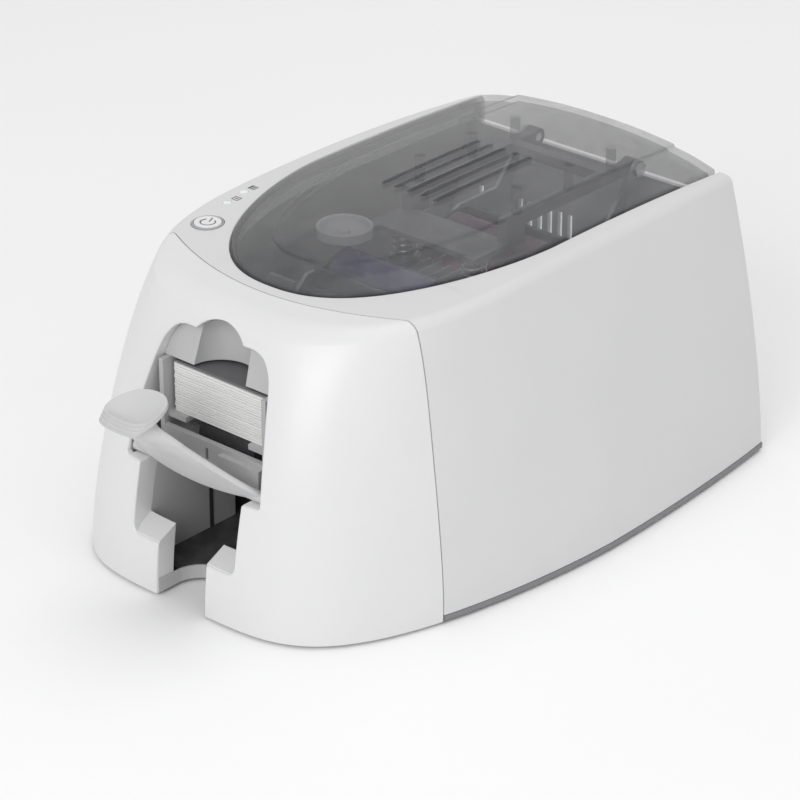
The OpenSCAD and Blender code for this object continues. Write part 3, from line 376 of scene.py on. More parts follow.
def startGroup(name, inputs, outputs):
    # each input socket takes its kind from its first value
    g = bpy.data.node_groups.new(name, "ShaderNodeTree")
    kinds = {1: "NodeSocketFloat", 3: "NodeSocketVector", 4: "NodeSocketColor"}
    for key, value in inputs.items():
        g.interface.new_socket(key, in_out="INPUT", socket_type=kinds[np.size(value)]).default_value = value
    for key in outputs:
        kind = {"Color": kinds[4], "Normal": kinds[3]}.get(key, kinds[1])
        g.interface.new_socket(key, in_out="OUTPUT", socket_type=kind)
    t = Tree(g)
    return t, g.nodes.new("NodeGroupInput").outputs


def closeGroup(t, values):
    t.wire(t.tree.nodes.new("NodeGroupOutput"), values)
    return t.tree


def mouldedGroup():
    # fine spark-eroded grain, slow colour drift and patchy gloss of a moulded plastic skin
    t, given = startGroup("Moulded skin", {
        "Color": (0.8, 0.8, 0.8, 1), "Roughness": 0.4, "Grain per metre": 1800.0, "Grain depth": 0.00001,
        "Drift": 0.03, "Edge radius": 0.0002}, ("Color", "Roughness", "Normal"))
    where = t.where()
    fine = t.noise(where, given["Grain per metre"], 3.0, 0.6)
    speck = t.spread(t.noise(where, 5200.0, 1.0), 0.62, 0.75)
    shade = t.spread(t.noise(where, 22.0, 3.0), 0.3, 0.7, 1.0, 0.0)
    darker = t.blend(1.0, given["Color"], (0.86, 0.865, 0.87, 1), "MULTIPLY")
    tone = t.blend(t.math("MULTIPLY", shade, t.math("MULTIPLY", given["Drift"], 8.0), True), given["Color"], darker)
    tone = t.blend(t.math("MULTIPLY", speck, given["Drift"]), tone, (0.3, 0.3, 0.32, 1))
    gloss = t.math("MULTIPLY", t.math("SUBTRACT", t.noise(where, 60.0, 4.0), 0.5), 0.14)
    return closeGroup(t, {"Color": tone, "Roughness": t.math("ADD", given["Roughness"], gloss),
                          "Normal": t.bump(0.6, given["Grain depth"], fine, t.rounded(given["Edge radius"]))})


def edgeWearGroup():
    # lighter rubbed edges, found where a rounded normal leaves the true one
    t, given = startGroup("Rubbed edges", {
        "Color": (0.5, 0.5, 0.5, 1), "Edge color": (0.9, 0.9, 0.9, 1), "Width": 0.0004, "Amount": 0.5},
        ("Color", "Mask"))
    same = t.node("VectorMath", {0: t.rounded(given["Width"]), 1: t.normal()},
                  operation="DOT_PRODUCT").outputs["Value"]
    edge = t.math("MULTIPLY", t.spread(same, 0.995, 0.9), t.spread(t.noise(t.where(), 420.0, 3.0), 0.3, 0.6))
    mask = t.math("MULTIPLY", edge, given["Amount"], True)
    return closeGroup(t, {"Color": t.blend(mask, given["Color"], given["Edge color"]), "Mask": mask})


def dustGroup():
    # thin dust that settles on what faces up
    t, given = startGroup("Settled dust", {"Color": (0.5, 0.5, 0.5, 1), "Roughness": 0.4, "Amount": 0.1},
                          ("Color", "Roughness"))
    patches = t.noise(t.where(), 95.0, 6.0, 0.7)
    mask = t.math("MULTIPLY", t.spread(t.part(t.normal(), 2), 0.35, 0.95), t.spread(patches, 0.42, 0.7))
    mask = t.math("MULTIPLY", mask, given["Amount"], True)
    return closeGroup(t, {"Color": t.blend(mask, given["Color"], (0.62, 0.61, 0.59, 1)),
                          "Roughness": t.math("ADD", given["Roughness"], t.math("MULTIPLY", mask, 0.35))})


def brushedGroup():
    # long fine strokes of drawn or turned metal
    t, given = startGroup("Drawn metal", {
        "Color": (0.6, 0.6, 0.6, 1), "Roughness": 0.3, "Stretch": (6000.0, 60.0, 6000.0)},
        ("Color", "Roughness", "Normal"))
    where = t.where()
    strokes = t.noise(t.stretched(where, given["Stretch"]), 1.0, 3.0, 0.6)
    dark = t.blend(1.0, given["Color"], (0.72, 0.73, 0.75, 1), "MULTIPLY")
    tone = t.blend(t.spread(strokes, 0.35, 0.65, 0.0, 0.55), given["Color"], dark)
    tone = t.blend(t.spread(t.noise(where, 70.0, 4.0), 0.5, 0.8, 0.0, 0.35), tone, dark)
    rough = t.math("ADD", given["Roughness"], t.spread(strokes, 0.3, 0.7, -0.06, 0.1))
    return closeGroup(t, {"Color": tone, "Roughness": rough,
                          "Normal": t.bump(0.35, 0.00002, strokes, t.rounded(0.00025))})


groups = {"moulded": mouldedGroup(), "edges": edgeWearGroup(), "dust": dustGroup(), "brushed": brushedGroup()}


def startMaterial(name):
    m = bpy.data.materials.new(name)
    m.use_nodes = True
    m.node_tree.nodes.clear()
    t = Tree(m.node_tree)
    shader = t.node("BsdfPrincipled")
    t.node("OutputMaterial", {"Surface": shader.outputs[0]})
    return m, t, shader


def mouldedPlastic(name, color, rough=0.4, grain=1800.0, depth=0.00001, drift=0.03, dust=0.06, wear=0.25,
                   edge=0.0002, coat=0.0):
    m, t, shader = startMaterial(name)
    skin = t.group("moulded", {"Color": (*color, 1.0), "Roughness": rough, "Grain per metre": grain,
                               "Grain depth": depth, "Drift": drift, "Edge radius": edge})
    light = tuple(min(c * 1.25 + 0.05, 0.95) for c in color)
    rubbed = t.group("edges", {"Color": skin["Color"], "Edge color": (*light, 1.0), "Amount": wear,
                               "Width": edge * 1.5})
    dusty = t.group("dust", {"Color": rubbed["Color"], "Roughness": skin["Roughness"], "Amount": dust})
    t.wire(shader, {"Base Color": dusty["Color"], "Roughness": dusty["Roughness"], "Normal": skin["Normal"],
                    "Coat Weight": coat, "Coat Roughness": 0.25})
    return m


def drawnMetal(name, color, rough=0.32, stretch=(6000.0, 60.0, 6000.0)):
    m, t, shader = startMaterial(name)
    strokes = t.group("brushed", {"Color": (*color, 1.0), "Roughness": rough, "Stretch": stretch})
    dusty = t.group("dust", {"Color": strokes["Color"], "Roughness": strokes["Roughness"], "Amount": 0.12})
    t.wire(shader, {"Base Color": dusty["Color"], "Roughness": dusty["Roughness"], "Normal": strokes["Normal"],
                    "Metallic": 1.0})
    return m


def smokedLid(name):
    # smoke-tinted clear plastic with faint wipe marks and a little dust
    m, t, shader = startMaterial(name)
    wipe = t.noise(t.stretched(t.where(), (30.0, 9.0, 30.0)), 4.0, 5.0, 0.65)
    dusty = t.group("dust", {"Color": (0.11, 0.113, 0.12, 1), "Roughness": 0.1, "Amount": 0.12})
    color = t.blend(t.spread(wipe, 0.4, 0.75, 0.0, 0.25), dusty["Color"], (0.21, 0.215, 0.225, 1))
    rough = t.math("ADD", dusty["Roughness"], t.spread(wipe, 0.35, 0.7, 0.0, 0.12))
    t.wire(shader, {"Base Color": color, "Roughness": rough, "Alpha": t.spread(wipe, 0.3, 0.8, 0.3, 0.37),
                    "IOR": 1.5, "Coat Weight": 0.5, "Coat Roughness": 0.06})
    return m


def rubber(name, color, rough=0.75, ribs=0.0):
    m, t, shader = startMaterial(name)
    where = t.where()
    height = t.noise(where, 3200.0, 4.0, 0.7)
    dusty = t.group("dust", {"Color": (*color, 1.0), "Roughness": rough, "Amount": 0.22})
    pale = tuple(min(c * 1.7 + 0.03, 1.0) for c in color)
    worn = t.spread(t.noise(where, 160.0, 5.0, 0.6), 0.45, 0.75, 0.0, 0.5)
    if ribs:
        across = t.node("TexWave", {"Vector": where, "Scale": ribs}, bands_direction="X").outputs["Fac"]
        height = t.math("ADD", height, t.math("MULTIPLY", across, 3.0))
    t.wire(shader, {"Base Color": t.blend(worn, dusty["Color"], (*pale, 1.0)), "Roughness": dusty["Roughness"],
                    "Normal": t.bump(0.7, 0.00005, height)})
    return m


def cardPlastic(name):
    # glossy white cards; the cut edges are a touch darker and each card drifts a little in tone
    m, t, shader = startMaterial(name)
    edge = t.spread(t.math("ABSOLUTE", t.part(t.normal(), 2)), 0.8, 0.2)
    sheet = t.noise(t.stretched(t.where(), (9.0, 9.0, 1300.0)), 1.0, 1.0)
    tone = t.blend(t.math("MULTIPLY", edge, t.spread(sheet, 0.3, 0.7, 0.15, 0.6)), (0.86, 0.86, 0.85, 1),
                   (0.66, 0.66, 0.65, 1))
    t.wire(shader, {"Base Color": tone, "Roughness": t.spread(edge, 0.0, 1.0, 0.22, 0.6)})
    return m


def circuitBoard(name):
    m, t, shader = startMaterial(name)
    where = t.where()
    brick = t.node("TexBrick", {"Vector": where, "Scale": 190.0, "Mortar Size": 0.03,
                                "Color1": (0.02, 0.13, 0.06, 1), "Color2": (0.015, 0.1, 0.05, 1),
                                "Mortar": (0.05, 0.26, 0.12, 1)}).outputs
    dots = t.spread(t.cells(where, 330.0), 0.16, 0.12)
    t.wire(shader, {"Base Color": t.blend(dots, brick["Color"], (0.65, 0.6, 0.45, 1)),
                    "Roughness": t.spread(dots, 0.0, 1.0, 0.3, 0.45), "Normal": t.bump(0.5, 0.00005, brick["Fac"])})
    return m


def dyeFilm(name, bands, rough=0.18):
    # bands of dye along the ribbon
    m, t, shader = startMaterial(name)
    where = t.where()
    ramp = t.node("ValToRGB", {0: t.math("FRACT", t.math("MULTIPLY", t.part(where, 1), 18.0))})
    ramp.color_ramp.interpolation = "CONSTANT"
    while len(ramp.color_ramp.elements) < len(bands):
        ramp.color_ramp.elements.new(0.5)
    for k, color in enumerate(bands):
        ramp.color_ramp.elements[k].position = k / len(bands)
        ramp.color_ramp.elements[k].color = (*color, 1.0)
    cling = t.noise(where, 130.0, 4.0)
    t.wire(shader, {"Base Color": ramp.outputs[0], "Roughness": t.spread(cling, 0.3, 0.7, rough - 0.06, rough + 0.1),
                    "Normal": t.bump(0.4, 0.0003, cling)})
    return m


def clearWindow(name):
    m, t, shader = startMaterial(name)
    facets = t.cells(t.where(), 1400.0)
    t.wire(shader, {"Base Color": t.blend(t.spread(facets, 0.0, 0.6), (0.62, 0.66, 0.63, 1), (0.8, 0.84, 0.8, 1)),
                    "Roughness": t.spread(facets, 0.0, 0.7, 0.08, 0.2), "Normal": t.bump(0.5, 0.0002, facets),
                    "Coat Weight": 0.8})
    return m


# Moulded plastics: name, colour, roughness, grain per metre, grain depth, drift, dust, wear, edge, coat
plastics = {
    "housing": ("Housing plastic", (0.66, 0.66, 0.665), 0.42, 2400.0, 0.000006, 0.02, 0.03, 0.0),
    "cover": ("Cover plastic", (0.72, 0.72, 0.725), 0.36, 2600.0, 0.000004, 0.02, 0.03, 0.0, 0.0002, 0.15),
    "tray": ("Tray plastic", (0.22, 0.22, 0.23), 0.55, 1500.0, 0.00002, 0.04, 0.08),
    "inner": ("Guide plastic", (0.46, 0.46, 0.465), 0.5, 1500.0, 0.00002, 0.04, 0.1, 0.35),
    # near-black bin: painted shade for the outlet's floor and back wall, which lie in shadow deep inside
    "binPaintedShade": ("Bin plastic, painted shade", (0.05, 0.05, 0.052), 0.5, 1500.0, 0.00002, 0.04, 0.1, 0.3),
    "hood": ("Hood plastic", (0.5, 0.5, 0.505), 0.42, 2200.0, 0.000008, 0.03, 0.04, 0.3),
    "dark": ("Dark plastic", (0.035, 0.035, 0.038), 0.45, 1300.0, 0.00002, 0.05, 0.16, 0.3),
    "motor": ("Motor enamel", (0.06, 0.06, 0.065), 0.35, 1700.0, 0.00001, 0.04, 0.2, 0.4),
    "panel": ("Panel plastic", (0.6, 0.6, 0.61), 0.48, 2000.0, 0.000012, 0.03, 0.04, 0.2),
    "flap": ("Flap plastic", (0.56, 0.56, 0.565), 0.42, 1500.0, 0.00003, 0.03, 0.03, 0.0, 0.0003),
    "lidArm": ("Arm plastic", (0.2, 0.2, 0.21), 0.5, 1600.0, 0.00002, 0.04, 0.14, 0.3),
    # painted light: lit tone of the outlet's walls, against the painted shade of the bin
    "litLiner": ("Liner plastic, painted lit tone", (0.5, 0.5, 0.505), 0.45, 1800.0, 0.00001, 0.03, 0.04, 0.2),
    # painted shade: dark plate over the card stack
    "shadePlate": ("Painted shade plate", (0.13, 0.13, 0.135), 0.5, 1600.0, 0.00002, 0.04, 0.05, 0.2),
    "cup": ("Cup plastic", (0.55, 0.55, 0.56), 0.4, 1600.0, 0.00001, 0.03, 0.1, 0.3),
    "gear": ("Nylon", (0.62, 0.6, 0.54), 0.45, 1500.0, 0.00001, 0.04, 0.1, 0.2),
    "button": ("Button plastic", (0.74, 0.74, 0.745), 0.3, 2600.0, 0.000003, 0.02, 0.02, 0.2),
    "collar": ("Collar plastic", (0.36, 0.36, 0.37), 0.42, 2000.0, 0.000008, 0.03, 0.05, 0.2),
    "mark": ("Printed mark", (0.1, 0.1, 0.11), 0.6, 2000.0, 0.000004, 0.02, 0.0, 0.0),
}
finish = {key: mouldedPlastic(*row) for key, row in plastics.items()}
finish.update({
    "lid": smokedLid("Smoked lid"),
    "frame": drawnMetal("Zinc plate", (0.52, 0.53, 0.54), 0.38),
    "steel": drawnMetal("Drawn steel", (0.6, 0.6, 0.61), 0.28, (60.0, 6000.0, 6000.0)),
    "head": drawnMetal("Anodised block", (0.32, 0.33, 0.34), 0.42, (80.0, 5000.0, 5000.0)),
    "brass": drawnMetal("Turned brass", (0.68, 0.5, 0.22), 0.3, (4000.0, 4000.0, 4000.0)),
    "roller": rubber("Roller rubber", (0.045, 0.045, 0.048), 0.7, 260.0),
    "foot": rubber("Foot rubber", (0.035, 0.035, 0.035), 0.8),
    "blue": rubber("Cleaner silicone", (0.05, 0.2, 0.4), 0.4),
    "card": cardPlastic("Card stock"),
    "board": circuitBoard("Circuit board"),
    "film": dyeFilm("Dye film", [(0.55, 0.42, 0.03), (0.45, 0.04, 0.16), (0.02, 0.16, 0.42), (0.02, 0.02, 0.02)]),
    "spool": dyeFilm("Fresh ribbon", [(0.05, 0.035, 0.16), (0.07, 0.03, 0.12), (0.04, 0.04, 0.14)], 0.22),
    "used": dyeFilm("Used ribbon", [(0.2, 0.05, 0.09), (0.14, 0.06, 0.12), (0.2, 0.1, 0.07)], 0.25),
    "window": clearWindow("Clear window"),
})
print("materials made:", len(finish))

# Nodes that are shown as they are, or stand under a finer piece, by finish
finishNodes = {
    # the output tray takes the near-black bin finish, which paints the shade deep in the outlet
    "tray": "base_tray", "panel": "rear_panel", "inner": "feeder_floor frame_bars", "binPaintedShade": "output_tray",
    "frame": "left_frame right_frame", "dark": "card_gate power_inlet cassette_frame", "hood": "flap_brackets",
    "motor": "drive_motor", "board": "main_board", "film": "ribbon_film", "window": "indicator_windows",
    "foot": "rubber_feet", "steel": "usb_socket screws lid_hinge_pins button_spring feed_shaft",
    "collar": "button_guide", "lidArm": "lid_arms lid_catch", "head": "print_head", "cup": "adjuster_cup",
    "button": "power_button", "roller": "drive_belt feed_tyre platen_roller front_roller rear_roller",
    "gear": "platen_gear front_roller_gear rear_roller_gear front_idler rear_idler", "brass": "motor_pinion",
    "blue": "cleaning_roller", "spool": "supply_spool", "used": "takeup_spool",
}
for key, nodeNames in finishNodes.items():
    for nodeName in nodeNames.split():
        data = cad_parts[nodeName].data
        data.materials.clear()
        data.materials.append(finish[key])


fineSteps = list(np.linspace(0, 5, 11)) + list(np.linspace(5, 17, 73))[1:]


def skinRings(inset, drop=0.0):
    rings = [skinRing(h, 0.0, inset, fineSteps) for h in np.linspace(0, 1, 34)]
    rings += [skinRing(1.0, math.radians(a), inset, fineSteps) for a in range(10, 91, 10)]
    rings[0] = [(x, y, z - drop) for x, y, z in rings[0]]
    return rings


def casingForm(name, inset, drop=0.0):
    return mirroredLoft(name, skinRings(inset, drop))


def aheadOfSeam(name, shift):
    lean = math.atan(casing["seamLean"] / casing["height"])
    far = casing["width"]
    y = casing["seamY"] - shift
    outline = [(-far, -2 * far), (-far, y)]
    for k in np.linspace(-1, 1, 97):
        outline.append((casing["seamHalfWidth"] * k, y - casing["seamArc"] * (1 - abs(k) ** 1.96)))
    outline += [(far, y), (far, -2 * far)]

    def leaned(u, v, w):
        return (u, v * math.cos(lean) + w * math.sin(lean),
                casing["height"] - v * math.sin(lean) + w * math.cos(lean))
    return prism(name, outline, -2 * casing["height"], casing["height"], leaned)


def grown(outline, by):
    # closed outline (counter-clockwise) moved outwards
    pts = np.array(outline, float)
    ahead = np.roll(pts, -1, 0) - pts
    ahead /= np.linalg.norm(ahead, axis=1, keepdims=True)
    normal = np.stack([ahead[:, 1], -ahead[:, 0]], 1)
    before = np.roll(normal, 1, 0)
    corner = normal + before
    corner /= np.maximum((corner * normal).sum(1, keepdims=True), 0.3)
    return [tuple(p) for p in pts + corner * by]


def smoothPath(points, steps=6):
    pts = [np.array(p, float) for p in points]
    pts = [2 * pts[0] - pts[1]] + pts + [2 * pts[-1] - pts[-2]]
    out = []
    for a, b, c, d in zip(pts, pts[1:], pts[2:], pts[3:]):
        for k in range(steps):
            t = k / steps
            out.append(0.5 * (2 * b + (c - a) * t + (2 * a - 5 * b + 4 * c - d) * t * t
                              + (3 * b - a - 3 * c + d) * t ** 3))
    out.append(pts[-2])
    return [tuple(p) for p in out]


def arc(cx, cz, r, start, end, steps=8):
    return [(cx + r * math.cos(math.radians(start + (end - start) * k / steps)),
             cz + r * math.sin(math.radians(start + (end - start) * k / steps))) for k in range(steps + 1)]


opening = {
    "sill": 55.0, "mouthHalf": 38.3, "lobeZ": 114.5, "humpZ": 103.2, "humpR": 17.5, "cusp": 1.7,
    "outletHalf": 29.3, "ledgeZ": 23.5, "ledgeFillet": 4.0, "slotHalf": 14.0,
    "edge": 1.0, "rampRise": 6.0,
}


def openingHalf():
    # right half of the front opening, from the slot's foot up to the middle of the arch
    o = opening
    low = [(o["slotHalf"], -9.0), (o["slotHalf"], o["ledgeZ"] - 0.6), (o["slotHalf"] + 0.6, o["ledgeZ"])]
    fillet = arc(o["outletHalf"] - o["ledgeFillet"], o["ledgeZ"] + o["ledgeFillet"], o["ledgeFillet"], -90, 0)
    shelf = [(o["outletHalf"], o["sill"] - 0.8), (o["outletHalf"] + 0.8, o["sill"]),
             (o["mouthHalf"] - 0.8, o["sill"]), (o["mouthHalf"], o["sill"] + 0.8)]
    jamb = smoothPath([(37.9, 60.0), (36.4, 71.5), (34.7, 83.5), (32.2, 97.0), (30.9, 102.5), (29.6, 106.2),
                       (27.2, 110.0), (24.0, 112.8), (20.0, 114.2), (16.6, 114.5)], 5)
    # small nose between the side lobe and the arch
    humpX = math.sqrt((o["humpR"] + o["cusp"]) ** 2 - (o["lobeZ"] + o["cusp"] - o["humpZ"]) ** 2)
    top = o["lobeZ"] + o["cusp"]
    leave = math.degrees(math.atan2(o["humpZ"] - top, -humpX))
    nose = arc(humpX, top, o["cusp"], -90, leave % 360 - 360, 7)
    hump = arc(0, o["humpZ"], o["humpR"], math.degrees(math.atan2(top - o["humpZ"], humpX)), 90, 24)
    return low + fillet + shelf + jamb + nose + hump[1:]


def openingOutline():
    half = openingHalf()
    return half + [(-x, z) for x, z in reversed(half[:-1])]


def densified(outline, step=1.6):
    # closed outline with no run longer than the step
    out = []
    for a, b in zip(outline, outline[1:] + outline[:1]):
        count = max(math.ceil(math.dist(a, b) / step), 1)
        out += [(mix(a[0], b[0], k / count), mix(a[1], b[1], k / count)) for k in range(count)]
    return out


def frontTool(name, outline, edge, back=-90.0):
    # cutter for an opening in the front whose outer edge is rounded; it leaves the skin steeply
    outline = densified(outline)
    start = 16.0
    rings = []
    flare = grown(outline, edge * (1 - math.sin(math.radians(start))) + 0.05)
    rings.append([(x, -200.0, z) for x, z in flare])
    rings.append([(x, frontSurface(x, max(z, 0.0)) - 0.25, z) for x, z in flare])
    for a in np.linspace(start, 90, 6):
        turn = math.radians(a)
        loop = grown(outline, edge * (1 - math.sin(turn)) + 1e-4)
        rings.append([(x, frontSurface(x, max(z, 0.0)) + edge * (1 - math.cos(turn)), z) for x, z in loop])
    rings.append([(x, back, z) for x, z in outline])
    return ringLoft(name, rings)


def doorRamp(name, side):
    # ledge beside the finger slot: rises from the front edge to the back
    o = opening
    x = sorted((side * o["slotHalf"], side * (o["outletHalf"] + 0.3)))
    front = 1.5 - casing["frontReach"]
    curve = [(front + 13 * k / 10, o["ledgeZ"] + o["rampRise"] * (k / 10) ** 1.1) for k in range(11)]
    outline = [(front - 2, o["ledgeZ"] - 3), (front - 2, o["ledgeZ"])] + curve + [(front + 13, o["ledgeZ"] - 3)]
    return prism(name, outline, *x, sideways)


bosses = {"cover": (66.0, -106.0), "housing": [(90.0, -34.0), (94.0, 30.0), (91.0, 96.0)], "foot": 2.6}


def lug(name, x, y, toX, toY):
    # screw boss with a web that runs to the wall
    side = 1 if x > 0 else -1
    post = cylinder("post", (x, y), bosses["foot"], bosses["foot"] + 9, 3.6)
    ahead = Vector((toX * side, toY, 0)).normalized()
    across = Vector((-ahead.y, ahead.x, 0)) * 2.0
    reach = 24.0
    start, end = Vector((x, y, 0)), Vector((x, y, 0)) + ahead * reach
    ring = []
    for p, high in ((start, 11.6), (end, 20.6)):
        a, b = p + across, p - across
        ring.append([(a.x, a.y, bosses["foot"]), (b.x, b.y, bosses["foot"]), (b.x, b.y, high), (a.x, a.y, high)])
    web = ringLoft(name, ring)
    return carve(web, ("join", post), ("cut", cylinder("bore", (x, y), -2, bosses["foot"] + 12, 1.65)))


def belowTray():
    return slab("foot", (-200, 200), (-320, 200), (-9, casing["trayBand"] + 0.3))


outerSkin = SmoothSkin(skinRings(0.0), 1.0)
innerSkin = SmoothSkin(skinRings(casing["wall"]), -1.0)
print("casing skins ready")

# Front cover with the feeder mouth, the card outlet and the finger slot
coverShape = {"bezelHalf": 46.0, "bezelLow": 2.9, "bezelHigh": 124.0, "pocketX": (36.8, 42.3),
              "pocketY": -148.2, "pocketZ": (52.0, 62.3)}
shell = carve(casingForm("frontCover", 0.0), ("cut", casingForm("inside", casing["wall"], 5.0)))
bezel = carve(slab("bezel", (-coverShape["bezelHalf"], coverShape["bezelHalf"]), (-320, -90),
                   (coverShape["bezelLow"], coverShape["bezelHigh"])),
              ("keep", casingForm("skin", 0.1)), ("cut", casingForm("behind", casing["bezelDepth"], 9.0)))
keptAhead = aheadOfSeam("ahead", casing["seamGap"] / 2)
frontCover = carve(shell, ("join", bezel), ("keep", keptAhead))
extras = []
for side in (1, -1):
    extras.append(lug("lug", side * bosses["cover"][0], bosses["cover"][1], 12, -24))
    for x, low, high in ((50, 0.95, 0.92), (70, 0.86, 0.8)):
        outline = [(-320, 36), (6 - frontReach(0.3) * low, 36), (6 - frontReach(0.6) * high, 79), (-320, 79)]
        extras.append(prism("gusset", outline, side * x - 0.8, side * x + 0.8, sideways))
for part in extras:
    carve(part, ("keep", casingForm("room", casing["wall"] - 0.4)))
frontCover = carve(frontCover, *[("join", part) for part in extras])
frontCover = carve(frontCover, ("cut", frontTool("opening", openingOutline(), opening["edge"])),
                   *[("join", carve(doorRamp("ramp", s), ("keep", casingForm("skin", 0.9)),
                                    ("cut", casingForm("behind", casing["bezelDepth"], 9.0)))) for s in (1, -1)],
                   *[("cut", slab("pocket", sorted((s * coverShape["pocketX"][0], s * coverShape["pocketX"][1])),
                                  (coverShape["pocketY"], -90), coverShape["pocketZ"])) for s in (1, -1)])
bezelSkin = SmoothSkin(skinRings(casing["bezelDepth"], 9.0), -1.0)
shadeBySkins(frontCover, [outerSkin, innerSkin, bezelSkin])
place(frontCover, "chassis", "cover", finish["cover"], ("front_cover",))
print("front cover:", len(frontCover.data.polygons), "faces")

# Lid outline, shared by the opening and the clear shell
lid = {
    "halfWidth": 68.5, "front": 101.6, "rear": 113.0, "power": (1.68, 2.37), "shrink": 0.45, "gap": 0.9,
    "edge": 0.5, "wall": 2.0, "lipTo": 1.8, "lipLow": 120.0, "lipRear": 99.0,
    "slotCount": 5, "slotPitch": 7.4, "slotY": (-14.0, 48.0), "slotRadius": 1.4,
}


def lidRing(k, grow, rise, rear=0.0):
    half, front = lid["halfWidth"] * k + grow, lid["front"] * (1 - lid["shrink"] * (1 - k)) + grow
    right = [(half, (lid["rear"]) * (1 - i / 14)) for i in range(14)]
    for t in np.linspace(0, 90, 61):
        c, s = max(math.cos(math.radians(t)), 0.0), math.sin(math.radians(t))
        right.append((half * c ** (2 / lid["power"][1]), -front * s ** (2 / lid["power"][0])))
    ring = right + [(-x, y) for x, y in reversed(right[:-1])]
    return [(x, min(y, lid["rear"] - rear), topZ(y) + rise) for x, y in ring]


def lidPlan(name, grow, low, high):
    ring = [(x, y) for x, y, _ in lidRing(1.0, grow, 0.0)]
    return prism(name, ring + [(-lid["halfWidth"] - grow, 236.0), (lid["halfWidth"] + grow, 236.0)], low, high)


def lidOpening(name):
    # upright cutter whose top flares to round the opening's edge
    rings = []
    far = 236.0

    def level(grow, rise, flat=None):
        ring = lidRing(1.0, grow, rise)
        ring += [(x, far, topZ(far) + rise) for x in (-lid["halfWidth"] - grow, lid["halfWidth"] + grow)]
        return [(x, y, z if flat is None else flat) for x, y, z in ring]
    rings.append(level(lid["gap"], 0, 80.0))
    for a in np.linspace(90, 0, 5):
        turn = math.radians(a)
        rings.append(level(lid["gap"] + lid["edge"] * (1 - math.sin(turn)), -lid["edge"] * (1 - math.cos(turn))))
    rings.append(level(lid["gap"] + lid["edge"] + 0.1, 0.02))
    rings.append(level(lid["gap"] + lid["edge"] + 0.1, 0, 180.0))
    return ringLoft(name, rings)


# Main housing: both side walls and the frame round the lid
controls = {"button": (-61.5, -76.0), "buttonHole": 7.4, "leds": [(-69.0, -56.4), (-71.0, -43.8)], "ledHole": 2.2,
            "rearHeights": (0.0, 0.2, 0.4, 0.6, 0.75), "rearTop": 116.1}
lip = carve(lidPlan("lip", lid["gap"] + lid["lipTo"], lid["lipLow"], 140.0), ("keep", casingForm("under", 0.2)),
            ("cut", slab("rearward", (-200, 200), (lid["lipRear"], 260), (0, 200))),
            ("cut", aheadOfSeam("ahead", -2.0)))
housing = carve(casingForm("housingShell", 0.0), ("cut", casingForm("inside", casing["wall"], 5.0)), ("join", lip),
                ("cut", aheadOfSeam("ahead", -casing["seamGap"] / 2)),
                ("cut", belowTray()))
extras = []
for side in (1, -1):
    for y in (-60, -10, 40, 84):
        low, high = sideWidth(0) - 14, sideWidth(0.5) - 4
        outline = [(side * low, 12), (side * 118, 12), (side * 118, 67), (side * high, 67)]
        extras.append(prism("rib", outline, y, y + 1.6, upright))
    for x, y in bosses["housing"]:
        extras.append(lug("lug", side * x, y, 1, 0))
for part in extras:
    carve(part, ("keep", casingForm("room", casing["wall"] - 0.4)))
housing = carve(housing, *[("join", part) for part in extras])


def rearOutline(inset):
    side = [(halfOutline(h, 0, inset)[0], h * casing["height"] - casing["crown"]
             * (casing["rearReach"] - casing["crownY"]) ** 2 * h ** 5) for h in controls["rearHeights"]]
    side.append((halfOutline(controls["rearTop"] / casing["height"], 0, inset)[0],
                 controls["rearTop"] + casing["wall"] - inset))
    return side + [(-x, z) for x, z in reversed(side)]


holes = [("cut", cylinder("hole", controls["button"], 100, 150, controls["buttonHole"]))]
holes += [("cut", cylinder("hole", p, 100, 150, controls["ledHole"])) for p in controls["leds"]]
housing = carve(housing, ("cut", lidOpening("lidGap")),
                ("cut", prism("rear", rearOutline(casing["wall"]), 113.5, 127.0, upright)), *holes)
shadeBySkins(housing, [outerSkin, innerSkin])
place(housing, "chassis", "housing", finish["housing"], ("main_housing",))
print("housing:", len(housing.data.polygons), "faces")

# Dark strip sunk in the seam between the cover and the housing: painted shade that draws the gap's shadow as a crisp
# dark line
seam = {"sunk": 0.55, "inner": 2.3, "clear": 0.01}
seamHalf = casing["seamGap"] / 2 - seam["clear"]
seamShadeStrip = carve(casingForm("seamShadeStrip", seam["sunk"]), ("cut", casingForm("inside", seam["inner"], 5.0)),
                   ("keep", aheadOfSeam("ahead", -seamHalf)), ("cut", aheadOfSeam("behind", seamHalf)),
                   ("cut", belowTray()))
place(seamShadeStrip, "chassis", "dark", finish["dark"])

# Light liners of the outlet's side walls and of the finger slot: painted light, the lit tone of the tray's walls set
# against the near-black bin plastic that paints the shade deeper in
litLiner = {"outlet": (29.35, 29.85), "outletBack": -96.0, "outletZ": (6.55, 53.6), "slot": (13.35, 13.95),
         "slotCentre": -148.0, "slotFront": -162.0, "slotZ": (0.25, 6.6)}


def litSlotLiner():
    inner, outer = litLiner["slot"]
    cy, front = litLiner["slotCentre"], litLiner["slotFront"]
    outline = [(outer, front)] + arc(0, cy, outer, 0, 180, 40) + [(-outer, front), (-inner, front)]
    outline += arc(0, cy, inner, 180, 0, 40) + [(inner, front)]
    return carve(prism("litSlotLiner", outline, *litLiner["slotZ"]), ("keep", casingForm("skin", 0.8, 3.0)))


walls = [carve(slab("wall", sorted((s * litLiner["outlet"][0], s * litLiner["outlet"][1])), (-170.0, litLiner["outletBack"]),
                    litLiner["outletZ"]), ("keep", casingForm("room", casing["bezelDepth"] + 0.05))) for s in (1, -1)]
litOutletLiner = joined("litOutletLiner", walls)
place(litOutletLiner, "chassis", "inner", finish["litLiner"])
slotBand = litSlotLiner()
shadeByAngle(slotBand, 30.0)
place(slotBand, "chassis", "inner", finish["litLiner"])

